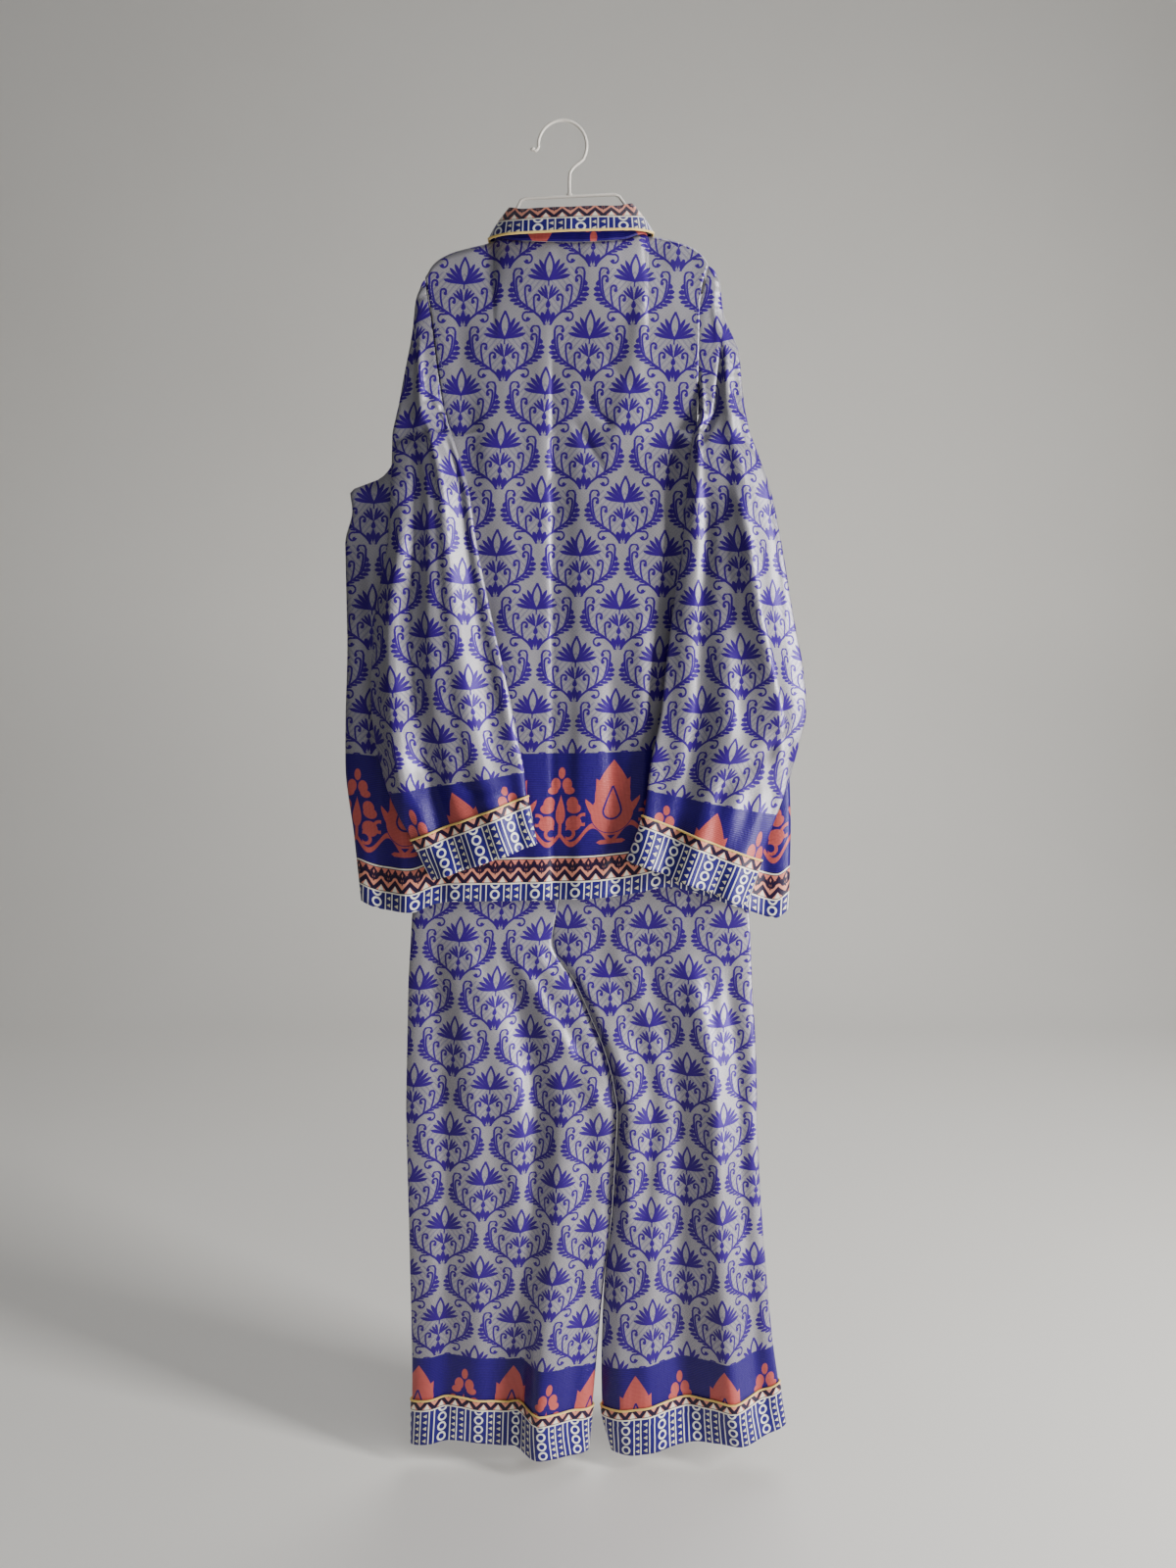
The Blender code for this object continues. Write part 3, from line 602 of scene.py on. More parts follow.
def cloth(name, points, places, slot, flip=False, columns_meet=False):
    """A thin wall of cloth over a grid of points, each with its place on the printed cloth."""
    rows = len(points) - 1
    columns = len(points[0]) - 1
    work = bmesh.new()
    bmesh.ops.create_grid(work, x_segments=columns, y_segments=rows, size=0.5)
    layer = work.loops.layers.uv.new(PRINT_MAP)

    def spot(vert):
        return round((vert.co.y + 0.5) * rows), round((vert.co.x + 0.5) * columns)

    spots = [spot(vert) for vert in work.verts]
    work.verts.index_update()
    for face in work.faces:
        for loop in face.loops:
            row, column = spots[loop.vert.index]
            loop[layer].uv = places[row][column]
    for vert, (row, column) in zip(work.verts, spots):
        vert.co = points[row][column]
    if columns_meet:
        bmesh.ops.remove_doubles(work, verts=work.verts, dist=0.00002)
    if flip:
        bmesh.ops.reverse_faces(work, faces=work.faces)
    thing = add_piece(f"{name}_cloth", work, slot)
    wall = thing.modifiers.new("wall", "SOLIDIFY")
    wall.thickness = bpy.context.scene.silk_sizes.cloth_thick
    wall.offset = 0.0
    wall.use_even_offset = True
    wall.thickness_clamp = 0.9
    return thing


def add_piece(name, work, look):
    """Makes a finished piece from a bmesh; its slot holds its look's material."""
    mesh = bpy.data.meshes.new(name)
    work.to_mesh(mesh)
    work.free()
    mesh.shade_smooth()
    thing = bpy.data.objects.new(name, mesh)
    bpy.context.scene.collection.objects.link(thing)
    dress(thing, look)
    return thing


def dress(thing, look):
    """Gives a piece its material and its slot, and lets it ride on the set's one body."""
    thing.data.materials.append(material(look))
    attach(thing, BODY)


def grid_of(point_at, columns, rows):
    """Rows of points, each from its column and row number."""
    return [[point_at(column, row) for column in range(columns + 1)] for row in range(rows + 1)]


def row_fall(row, rows, first):
    """Rows below the first are even; the first keeps the small round at the shoulder."""
    return 0.0 if row == 0 else first + (1 - first) * (row - 1) / (rows - 1)


def print_u(x, z):
    """Where the back's print lies across: its grain leans a little from plumb."""
    return x - GRAIN_X - GRAIN_LEAN * (z - GRAIN_Z)


def add_panel(name, left, right, top, depth_y, columns, rows, flip):
    """Hangs one panel of the shirt between its two edges."""
    first = SEAM_ROUND / (SHOULDER_Z - HEM_Z)
    points = []
    places = []
    for row in range(rows + 1):
        fall = row_fall(row, rows, first)
        line = [
            panel_point(column / columns, fall, left, right, top, depth_y)
            for column in range(columns + 1)
        ]
        points.append([point for point, height in line])
        places.append([(print_u(p.x, p.z), height) for p, height in line])
    thing = cloth(name, points, places, "brocade", flip)
    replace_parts(thing, name)
    abs(right(HEM_Z) - left(HEM_Z)) * 1.02
    return thing


def collar_at(column, angle):
    """One column of the collar's table at an angle from the middle of the back."""
    return curve(COLLAR, "angle", column)(abs(angle))


def neck_point(angle):
    """Where the collar stand leaves the panels, at an angle from the middle of the back."""
    turn = math.radians(angle)
    x = NECK_X + NECK_HALF * math.sin(turn)
    behind = abs(angle) < 90
    top = top_back(x) if behind else top_front(x)
    y = back_y(x, top) if behind else front_y(x, top)
    return Vector((x, y, top + 0.0006 + FRONT_SEAM * max(0.0, -math.cos(turn))))


def stand_top(angle):
    """The collar stand's upper edge, which leans in and a little to one side."""
    turn = math.radians(angle)
    x = NECK_X + NECK_HALF * STAND_SHRINK * math.sin(turn)
    y = -STAND_TOP_Y * math.cos(turn)
    return Vector((x, y, collar_at("fold_z", angle) - 0.0045 + COLLAR_TILT * (x - NECK_X)))


def fold_point(angle, out):
    """A point straight out from the stand's upper edge."""
    at = stand_top(angle)
    turn = math.radians(angle)
    at.x += out * math.sin(turn)
    at.y -= out * math.cos(turn)
    return at


def sleeve_maker(table, side):
    """The sleeve's surface: around is 0 to 1 round it, along counts its stations."""
    stations = [Numbered(i, *row) for i, row in enumerate(table)]
    outer_x = curve(stations, "n", "outer_x")
    outer_z = curve(stations, "n", "outer_z")
    inner_x = curve(stations, "n", "inner_x")
    inner_z = curve(stations, "n", "inner_z")
    half = curve(stations, "n", "half")
    fold = curve(stations, "n", "fold")
    slit_station = next(i for i, row in enumerate(table) if row.inner_z <= SLIT_Z)
    last = len(table) - 1
    fold_from, fold_to = SLEEVE_FOLD_AT[side]

    def point(around, along):
        w = (1 - math.cos(2 * math.pi * around)) / 2
        near = around < 0.5
        x = mix(inner_x(along), outer_x(along), w)
        z = mix(inner_z(along), outer_z(along), w)
        swell = math.sqrt(max(0.0, 1 - w**4)) * math.sqrt(max(0.0, 1 - (1 - w) ** 4))
        lie = back_y(x, z) - LIE_CLEAR - half(along)
        closed = lie + (-1 if near else 1) * half(along) * swell
        seam_y = (back_y if near else front_y)(inner_x(along), inner_z(along))
        open_y = seam_y * math.sqrt(max(0.0, 1 - w**3))
        if along < slit_station:
            steep = 2.0 + 16.0 * ease(slit_station - 2.0, slit_station, along)
            loose = ease(2.0, slit_station + 0.6, along) * (1 - (1 - w) ** steep)
        else:
            loose = 1.0 if w < 0.001 else ease(slit_station - 1.4, slit_station + 0.2, along)
        y = mix(open_y, closed, loose)
        if near:
            centre = mix(fold_from, fold_to, along / last)
            y -= fold(along) * hump(w, centre, SLEEVE_FOLD_WIDE)
            edges = ease(0.0, 0.08, w) * (1 - ease(0.93, 1.0, w))
            y -= creased(SLEEVE_CREASES[side], w, along) * edges
        return Vector((x, y, z))

    return point, last


def moved_out(point, around, along, down_step, step, out):
    """A point of a tube moved out, so that the new wall keeps its distance at the folds."""
    here = point(around, along)
    down = here - point(around, along - down_step)
    before = (here - point((around - step) % 1.0, along)).cross(down).normalized()
    after = (point((around + step) % 1.0, along) - here).cross(down).normalized()
    between = (before + after).normalized()
    return here + between * out / max(SHARPEST, between.dot(before))


def turned_back(point, columns, rows, start, end, down_step, out):
    """The end of a tube turned back over itself, from a start to its end."""
    def at(column, row):
        around = (column % columns) / columns
        along = mix(start, end, row / rows)
        return moved_out(point, around, along, down_step, 1 / columns, out)

    return grid_of(at, columns, rows)


def add_turned_end(kind, side, points, places):
    """A cuff or a turn-up, with piping round its upper edge."""
    band = cloth(f"{kind}_{side}", points, places, "border", side == "right", columns_meet=True)
    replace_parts(band, f"{kind}_{side}")
    trim = add_piping(f"{kind}_piping_{side}", points[0][:-1], True)


def leg_maker(side):
    """The leg's surface: around is 0 to 1 round it, z is its height before the hem's lift."""
    outer = curve(LEGS, "z", f"{side}_outer")
    inner = curve(LEGS, "z", f"inseam_{side}")
    half = curve(LEGS, "z", "half")
    near_out = curve(ACROSS, "w", f"{side}_near")
    lift = curve(ACROSS, "w", f"{side}_lift")
    lowest = LEGS[-1].z

    def point(around, z):
        w = (1 - math.cos(2 * math.pi * around)) / 2
        near = around < 0.5
        x = mix(inner(z), outer(z), w)
        open_swell = math.sqrt(max(0.0, 1 - w**4))
        shut_swell = open_swell * math.sqrt(max(0.0, 1 - (1 - w) ** 4))
        shut = 1 - ease(*CROTCH_OPEN, z - CROTCH_Z)
        swell = mix(open_swell, shut_swell, shut)
        y = -0.001 + (-1 if near else 1) * half(z) * swell
        falls = ease(*LEG_FALL, z)
        edges = ease(0.0, 0.05, w) * (1 - ease(0.92, 1.0, w))
        folds = creased(LEG_CREASES[side], w, z) * edges
        if near:
            y -= near_out(w) * falls + folds
        else:
            y += FAR_FALL * near_out(w) * falls + FAR_FOLD * folds
        return Vector((x, y, z + lift(w) * ease(HEM_LIFT, lowest, z)))

    return point, lowest


def tube(name, points, radius, smooth, closed, look):
    """A round wire or piped edge of one thickness along a line of points."""
    path = bpy.data.curves.new(name, "CURVE")
    path.dimensions = "3D"
    path.bevel_depth = radius
    path.bevel_resolution = smooth
    path.use_fill_caps = not closed
    line = path.splines.new("POLY")
    line.points.add(len(points) - 1)
    for station, point in zip(line.points, points):
        station.co = (*point, 1.0)
    line.use_cyclic_u = closed
    line.use_smooth = True
    thing = bpy.data.objects.new(name, path)
    bpy.context.scene.collection.objects.link(thing)
    dress(thing, look)
    return thing


def add_wire(name, points, closed):
    """A piece of the hanger's wire along places in the hanger's plane."""
    flat = [(x, 0.0, z) for x, z in points]
    return tube(name, flat, WIRE_R, WIRE_SMOOTH, closed, "wire")


def add_piping(name, points, closed):
    """A round piped edge along a line of points."""
    radius = bpy.context.scene.silk_sizes.piping_radius
    return tube(name, points, radius, PIPING_SMOOTH, closed, "piping")


def arc(centre_x, centre_z, radius, start, end, steps):
    """Points of an arc in the hanger's plane, its angles in degrees from +X towards +Z."""
    turns = [math.radians(mix(start, end, i / steps)) for i in range(steps + 1)]
    return [(centre_x + radius * math.cos(t), centre_z + radius * math.sin(t)) for t in turns]


def rounded(points, steps):
    """A smooth open line through the points of a bent wire."""
    last = len(points) - 1
    line = []
    for i in range(last):
        a, b, c, d = (points[min(max(i + k, 0), last)] for k in (-1, 0, 1, 2))
        for step in range(steps):
            t = step / steps
            line.append(
                tuple(
                    0.5
                    * (
                        2 * q
                        + (r - p) * t
                        + (2 * p - 5 * q + 4 * r - s) * t * t
                        + (3 * q - p - 3 * r + s) * t**3
                    )
                    for p, q, r, s in zip(a, b, c, d)
                )
            )
    line.append(points[-1])
    return line


def tint(code):
    """A scene-linear colour from the six figures that a colour picker shows."""
    parts = [int(code[i : i + 2], 16) / 255 for i in (0, 2, 4)]
    return tuple(p / 12.92 if p <= 0.04045 else ((p + 0.055) / 1.055) ** 2.4 for p in parts)


class Reading:
    """A number that shader nodes work out at each point of a surface."""

    def __init__(self, tree, socket):
        self.tree = tree
        self.socket = socket

    def step(self, operation, *others, clamp=False):
        """The reading after one math node."""
        node = self.tree.nodes.new("ShaderNodeMath")
        node.operation = operation
        node.use_clamp = clamp
        for slot, value in zip(node.inputs, (self, *others)):
            feed(self.tree, slot, value)
        return Reading(self.tree, node.outputs[0])

    def __add__(self, other):
        return self.step("ADD", other)

    def __sub__(self, other):
        return self.step("SUBTRACT", other)

    def __rsub__(self, other):
        return self.step("MULTIPLY_ADD", -1.0, other)

    def __mul__(self, other):
        return self.step("MULTIPLY", other)

    def __truediv__(self, other):
        return self.step("DIVIDE", other)

    def __pow__(self, power):
        return self.step("POWER", power)

    def __abs__(self):
        return self.step("ABSOLUTE")

    __radd__ = __add__
    __rmul__ = __mul__


def feed(tree, slot, value):
    """Sets a socket to a number, or links a reading to it."""
    if isinstance(value, Reading):
        tree.links.new(value.socket, slot)
    else:
        slot.default_value = value


def fraction(value):
    """What is left of a value over its whole number below."""
    return value.step("FRACT")


def whole(value):
    """The nearest whole number."""
    return value.step("ROUND")


def over(value, edge):
    """1 above an edge, 0 below it."""
    return value.step("GREATER_THAN", edge)


def under(value, edge):
    """1 below an edge, 0 above it."""
    return value.step("LESS_THAN", edge)


def least(first, *rest):
    """The smallest of some readings: of distances, all the shapes together."""
    for value in rest:
        first = first.step("MINIMUM", value)
    return first


def most(first, *rest):
    """The largest of some readings: of distances, where all the shapes overlap."""
    for value in rest:
        first = first.step("MAXIMUM", value)
    return first


def far(x, y):
    """How far a place is from the middle."""
    return (x * x + y * y).step("SQRT")


def inked(distance, soft=INK_SOFT):
    """1 inside a shape, 0 outside it, from its distance in millimetres."""
    return distance.step("MULTIPLY_ADD", -1.0 / soft, 0.5, clamp=True)


def oval(x, y, half_x, half_y):
    """Distance from an oval: negative inside it."""
    return (far(x / half_x, y / half_y) - 1.0) * min(half_x, half_y)


def lozenge(x, y, half_x, half_y):
    """Distance from a lozenge: negative inside it."""
    return (abs(x) / half_x + abs(y) / half_y - 1.0) * (0.7 * min(half_x, half_y))


def ring(x, y, radius, half_thick):
    """Distance from a ring's line: negative on it."""
    return abs(far(x, y) - radius) - half_thick


def between(value, low, high):
    """Distance from a band: negative inside it."""
    return abs(value - (low + high) / 2) - (high - low) / 2


def leaves(angle, reach, first, spacing, count, length, half_wide):
    """Slim leaves that fan out from one point, as a distance in millimetres."""
    turns = (angle - (first - spacing / 2)) / spacing
    offset = abs(fraction(turns) - 0.5) * (spacing * math.pi / 180)
    s = reach / length
    wide = s * (1.0 - s**5) * half_wide
    beyond = most(abs(turns - count / 2) - count / 2, 0.0) * 9.0
    return offset * reach - wide + beyond


def palmette(x, y):
    """The leaf, its petals, the sprig, the drop and the bud under it, up one column."""
    column = whole(x / HALF_WIDE)
    beside = abs(x - column * HALF_WIDE)
    odd = fraction(column * 0.5) * 2.0
    height = y - odd * HALF_TALL
    height = height - whole((height + 20.0) / (2 * HALF_TALL)) * (2 * HALF_TALL)
    rise = (height - 0.5) / 15.0
    leaf_wide = (most(1.0 - rise * rise, 0.0) ** 1.3) * 5.2
    leaf = most(abs(beside - leaf_wide) - 1.15, abs(rise) * 15.0 - 15.2)
    stem = most(beside - 0.6, between(height, -19.5, -13.0))
    foot = height + 14.5
    angle = beside.step("ARCTAN2", foot) * (180 / math.pi)
    petals = leaves(angle, far(beside, foot), 27.5, 16.2, 4, 25.5, 3.3)
    knot = height + 34.5
    angle = beside.step("ARCTAN2", knot) * (180 / math.pi)
    sprig = leaves(angle, far(beside, knot), 16.0, 17.0, 3, 16.5, 2.1)
    drop = oval(beside, height + 39.6, 2.6, 2.6)
    drop_tip = lozenge(beside, height + 38.2, 2.2, 4.4)
    bud = lozenge(beside, height + 50.0, 3.4, 7.6)
    side_x = beside - 5.2
    side_y = height + 52.6
    side_bud = oval(side_x * 0.94 - side_y * 0.34, side_y * 0.94 + side_x * 0.34, 2.6, 5.4)
    return least(leaf, stem, petals, sprig, drop, drop_tip, bud, side_bud)


def vine(x, y):
    """The ogee vine with its feathered leaves and hooks, in one brick of the lattice."""
    across = abs(x - whole(x / (2 * HALF_WIDE)) * (2 * HALF_WIDE))
    down = fraction((HALF_TALL - y) / (2 * HALF_TALL)) * (2 * HALF_TALL)
    second = over(down, HALF_TALL)
    q = down - second * HALF_TALL
    p = across + (HALF_WIDE - across * 2.0) * second
    swing = ((43.5 - q) / 6.5).step("EXPONENT") + 1.0
    share = swing ** -1.0
    slope = (share - share * share) * 6.31
    lean = (slope * slope + 1.0).step("SQRT")
    off = (p - (share * 41.0 + 8.6)) / lean
    line = most(abs(off) - 1.05, 5.0 - q)
    along = q * 0.72 + p * 0.79
    inward = most(off * -1.0, 0.0)
    feather_long = most(1.0 - ((q - 30.0) / 19.0) ** 2.0, 0.02) * 8.5
    e = inward / feather_long
    turn = abs(fraction((along + inward * 0.9) / 5.6) - 0.5) * 4.3
    feather = most(turn - (e - e * e) * 5.6 - 0.30, inward - feather_long, 0.4 - inward)
    number = least(most((p - 9.0) / 10.6, 0.0).step("FLOOR"), 2.0)
    beside = p - 9.0 - number * 10.6
    drop = q - number * 9.8 - 12.6
    hook = most(ring(beside - 6.3, drop, 3.3, 0.95), drop - 0.6)
    hook_stem = most(
        abs(beside - 2.95 - drop * drop * 0.010) - 0.9,
        drop * -1.0,
        1.6 - off,
    )
    hook_ball = far(beside - 8.6, drop - 1.5) - 1.9
    hooks = most(least(hook, hook_stem, hook_ball), p - 41.5, 8.6 - p, 0.4 - off)
    top_curl = most(ring(p - 14.0, q - 5.4, 5.0, 0.85), q - 5.6)
    top_ball = far(p - 18.2, q - 5.8) - 1.8
    spiral_x = p - 25.0
    spiral_y = q - 51.2
    spiral = ring(spiral_x, spiral_y, 4.6, 0.8)
    gap = least(spiral_x - 1.5, 2.2 - spiral_y)
    spiral = most(spiral, gap)
    spiral_ball = far(spiral_x - 1.6, spiral_y - 2.6) - 1.8
    link = most(abs(q - 46.7) - 0.75, between(p, 25.0, 33.5))
    return least(line, feather, hooks, top_curl, top_ball, spiral, spiral_ball, link)


def lotus_and_tree(u, v):
    """The coral figures of the wide band: a lotus bud, a lobed tree and scrolls between."""
    across = (u - LOTUS_AT) / LOTUS_STEP
    bx = abs(across - whole(across)) * LOTUS_STEP
    bulb = oval(bx, v - 104.0, 24.6, 25.5)
    rise = (v - 127.0) / 42.5
    body = most(bx - (1.0 - most(rise, 0.0) ** 1.7) * 20.5, 118.0 - v, rise * 42.5 - 42.5)
    ear_low = most(v - bx * 0.9 - 94.0, (bx - 18.0) * (bx - 18.0) * 0.11 + 98.0 - v, bx - 31.5)
    ear_high = most(v - bx * 0.7 - 133.0, bx - 19.8, 120.0 - v)
    drop_line = ring(bx, least(v - 106.0, 0.0), 10.6, 1.2)
    tip = (v - 106.0) / 31.0
    drop_side = abs(bx - (1.0 - most(tip, 0.0) ** 1.25) * 10.6) - 1.2
    drop = most(least(drop_line + over(v, 106.0) * 50.0, drop_side + under(v, 106.0) * 50.0), v - 137.0)
    calyx = most(bx - 7.5 + abs(v - 79.0) * 0.5, abs(v - 78.5) - 3.2)
    foot = most(bx - 17.0 + abs(v - 67.5) * 1.5, abs(v - 67.5) - 2.6)
    lotus = most(least(bulb, body, ear_low, ear_high), drop * -1.0)
    tx = LOTUS_STEP / 2 - bx
    crown = oval(tx, v - 154.5, 3.9, 7.0)
    lobes = least(
        oval(tx - 6.6, v - 140.5, 5.6, 8.0),
        oval(tx - 9.6, v - 133.0, 6.0, 4.6),
        oval(tx - 13.6, v - 117.0, 6.6, 8.2),
        oval(tx - 15.6, v - 111.0, 8.0, 6.4),
        oval(tx - 15.8, v - 92.6, 9.2, 9.2),
    )
    heart_tall = (v - 90.0) / 37.0
    heart = most(
        tx - most(heart_tall - heart_tall * heart_tall, 0.0) ** 0.8 * (1.25 - heart_tall) * 20.0,
        89.0 - v,
        v - 128.0,
    )
    tree = least(crown, most(lobes, 1.1 - heart), heart, most(tx - 1.8, between(v, 78.0, 92.0)))
    wave = ((bx - 9.0) * (2 * math.pi / 50.0)).step("SINE") * 11.0 + 77.5
    scroll = abs(v - wave) * 0.72 - 2.3
    curl_a = most(ring(bx - 33.0, v - 97.0, 6.2, 1.9), 31.0 - bx)
    curl_b = most(ring(bx - 50.0, v - 80.0, 6.5, 1.9), bx - 53.0)
    curl_c = oval(bx - 41.5, v - 88.5, 5.2, 3.4)
    scroll = most(least(scroll, curl_a, curl_b, curl_c, calyx, foot), 0.9 - bulb)
    return least(lotus, tree, scroll)


def lattice(u, v):
    """The narrow band of blossoms over zigzags and triangles: its dark and cream parts."""
    across = u / BLOSSOM_STEP
    cx = abs(across - whole(across)) * BLOSSOM_STEP
    tx = BLOSSOM_STEP / 2 - cx
    y = v - STRIPE_TOP
    triangle = most(y + tx * 2.0 - 9.0, 1.8 - y)
    zigzag = abs(y + tx * 1.2 - 12.6) - 3.5
    valley = most(y + tx * -1.2 + 5.6, 1.0 - y)
    core = lozenge(cx, y - 22.6, 1.0, 2.6)
    bud = most(lozenge(cx, y - 22.4, 4.4, 6.6), core * -1.0)
    side = turned_oval(cx - 4.8, y - 19.2, 4.6, 2.4)
    low = turned_oval(cx - 3.1, y - 15.4, 3.6, 1.7)
    stalk = most(cx - 0.8, between(y, 11.0, 18.0))
    small = lozenge(tx, y - 23.6, 3.2, 5.2)
    small_side = turned_oval(tx - 2.6, y - 20.6, 2.8, 1.5)
    dark = least(zigzag, valley, bud, side, low, stalk, small, small_side)
    return most(dark, between(y, 1.2, 28.0)), triangle


def turned_oval(x, y, half_long, half_thin):
    """An oval that leans outwards by 45 degrees."""
    return oval((x + y) * 0.707, (y - x) * 0.707, half_long, half_thin)


def ring_stripes(u, v):
    """The edge band: columns of rings between plain lines and two columns of small teeth."""
    across = fraction(u / STRIPE_STEP) * STRIPE_STEP
    up = (v - 8.2) / RING_STEP
    rings = ring(across - 11.4, (up - whole(up)) * RING_STEP, 4.6, 1.15)
    lines = least(*(abs(across - place) - 0.72 for place in (1.0, 21.9, 30.4, 41.6)))
    rise = v / TOOTH_STEP + 0.3
    tooth = abs(rise - whole(rise)) * TOOTH_STEP
    teeth = least(
        most(tooth * 1.9 - across + 23.6, across - 28.2),
        most(tooth * 1.9 - across + 33.6, across - 38.4),
    )
    return least(rings, lines), teeth


class Weaver:
    """Builds one material's nodes."""

    def __init__(self, name):
        self.made = bpy.data.materials.new(name)
        self.made.use_nodes = True
        self.tree = self.made.node_tree
        self.shader = self.tree.nodes["Principled BSDF"]

    def add(self, kind, **settings):
        """A new node with its settings."""
        node = self.tree.nodes.new(kind)
        for key, value in settings.items():
            setattr(node, key, value)
        return node

    def print_place(self):
        """Where a point lies on the printed cloth, in millimetres."""
        source = self.add("ShaderNodeUVMap", uv_map=PRINT_MAP)
        split = self.add("ShaderNodeSeparateXYZ")
        self.tree.links.new(source.outputs["UV"], split.inputs[0])
        return [Reading(self.tree, split.outputs[i]) * 1000.0 for i in (0, 1)]

    def object_place(self):
        """Where a point lies in the set's own frame, in metres."""
        return self.add("ShaderNodeTexCoord").outputs["Object"]

    def noise(self, place, scale, detail=2.0):
        """A soft uneven reading from 0 to 1."""
        node = self.add("ShaderNodeTexNoise")
        node.inputs["Scale"].default_value = scale
        node.inputs["Detail"].default_value = detail
        self.tree.links.new(place, node.inputs["Vector"])
        return Reading(self.tree, node.outputs["Fac"])

    def blend(self, first, second, share):
        """A colour between two, each a colour value or another blend's socket."""
        node = self.add("ShaderNodeMix", data_type="RGBA")
        feed(self.tree, node.inputs[0], share)
        for slot, colour in zip((node.inputs[6], node.inputs[7]), (first, second)):
            if isinstance(colour, bpy.types.NodeSocket):
                self.tree.links.new(colour, slot)
            else:
                slot.default_value = (*colour, 1.0)
        return node.outputs[2]

    def bump(self, height, distance, under=None):
        """A shading normal that stands a surface out by a height, over one under it."""
        node = self.add("ShaderNodeBump")
        node.inputs["Strength"].default_value = 0.5
        node.inputs["Distance"].default_value = distance
        feed(self.tree, node.inputs["Height"], height)
        if under is not None:
            self.tree.links.new(under, node.inputs["Normal"])
        return node.outputs[0]

    def finish(self, colour, roughness, normal=None, metallic=0.0, **constants):
        """The finished material; its constants are the shader's own sockets by name."""
        if isinstance(colour, bpy.types.NodeSocket):
            self.tree.links.new(colour, self.shader.inputs["Base Color"])
        else:
            self.shader.inputs["Base Color"].default_value = (*colour, 1.0)
        feed(self.tree, self.shader.inputs["Roughness"], roughness)
        feed(self.tree, self.shader.inputs["Metallic"], metallic)
        if normal is not None:
            self.tree.links.new(normal, self.shader.inputs["Normal"])
        for key, value in constants.items():
            self.shader.inputs[key.replace("_", " ")].default_value = value
        return self.made


def brocade_ground(weaver, threads, crossing, cloud):
    """The silver ground: dark and light threads, with a cream one where they cross."""
    colours = bpy.context.scene.silk_colours
    ground = weaver.blend(colours.thread_dark, colours.thread_light, threads * 0.7 + cloud * 0.5)
    return weaver.blend(ground, colours.cream, inked(0.25 - crossing) * 0.6)


def wide_band(weaver, u, v, ribs, net):
    """The ribbed purple band with its coral figures."""
    colours = bpy.context.scene.silk_colours
    ribbed = inked(ribs * -1.0 - 0.2, 0.8) * 0.75
    band = weaver.blend(colours.border, colours.border_dark, ribbed)
    coral = weaver.blend(colours.coral, colours.coral_dark, net)
    return weaver.blend(band, coral, inked(lotus_and_tree(u, v), 0.6))


def narrow_band(weaver, u, v):
    """The band of blossoms and zigzags on peach."""
    colours = bpy.context.scene.silk_colours
    dark, triangle = lattice(u, v)
    band = weaver.blend(colours.peach, colours.coral, inked(abs(v - 47.0) - 3.0, 1.2) * 0.5)
    band = weaver.blend(band, colours.aubergine, inked(dark))
    return weaver.blend(band, colours.cream, inked(triangle))


def edge_band(weaver, u, v):
    """The band of ring stripes at the hem."""
    colours = bpy.context.scene.silk_colours
    whites, teeth = ring_stripes(u, v)
    band = weaver.blend(colours.stripe, colours.white, inked(whites, FINE_INK))
    return weaver.blend(band, colours.tooth, inked(teeth, FINE_INK))


def silk_material(name):
    """The printed silk: brocade above, and the sari border down to the hem."""
    weaver = Weaver(name)
    colours = bpy.context.scene.silk_colours
    u, v = weaver.print_place()
    x = u * (2 * HALF_WIDE / REPEAT_WIDE)
    y = v * (2 * HALF_TALL / REPEAT_TALL)
    print_ink = inked(least(palmette(x, y), vine(x, y)) - INK_SPREAD)
    warp = (u * (2 * math.pi / THREAD)).step("SINE")
    weft = (v * (2 * math.pi / THREAD)).step("SINE")
    crossing = warp * weft
    threads = crossing * 0.5 + 0.5
    place = weaver.object_place()
    cloud = weaver.noise(place, 9.0)
    ground = brocade_ground(weaver, threads, crossing, cloud)
    violet = weaver.blend(colours.violet, colours.violet_lit, cloud * 0.8)
    colour = weaver.blend(ground, violet, print_ink)

    ribs = (v * (2 * math.pi / RIB_STEP)).step("SINE")
    in_band = inked(v - BAND_TOP)
    net = (warp + weft) * 0.35 + cloud * 0.5
    colour = weaver.blend(colour, wide_band(weaver, u, v, ribs, net), in_band)
    colour = weaver.blend(colour, narrow_band(weaver, u, v), inked(v - LATTICE_TOP, FINE_INK))
    for line_v in (LATTICE_TOP, STRIPE_TOP):
        beside = abs(v - line_v) - LINE_HALF
        colour = weaver.blend(colour, colours.aubergine, inked(beside - LINE_HALF, FINE_INK))
        colour = weaver.blend(colour, colours.cream, inked(beside, FINE_INK))
    colour = weaver.blend(colour, edge_band(weaver, u, v), inked(v - STRIPE_TOP + LINE_HALF, 0.3))

    height = threads * 0.5 + print_ink * 0.6 + inked(ribs * -1.0, 1.0) * in_band
    stretched = weaver.add("ShaderNodeMapping")
    stretched.inputs["Scale"].default_value = (1.0, 1.0, 0.22)
    weaver.tree.links.new(place, stretched.inputs["Vector"])
    drape = weaver.bump(weaver.noise(stretched.outputs[0], 26.0, 1.0), 0.010)
    return weaver.finish(
        colour,
        threads * 0.10 + 0.30 - print_ink * 0.04,
        weaver.bump(height, 0.00025, drape),
        (1.0 - print_ink * 0.55) * (1.0 - in_band) * 0.36 + 0.08,
        Sheen_Weight=0.02,
        Sheen_Roughness=0.35,
        Sheen_Tint=(*tint(SHEEN_TINT), 1.0),
        Specular_IOR_Level=0.32,
        Anisotropic=0.35,
    )


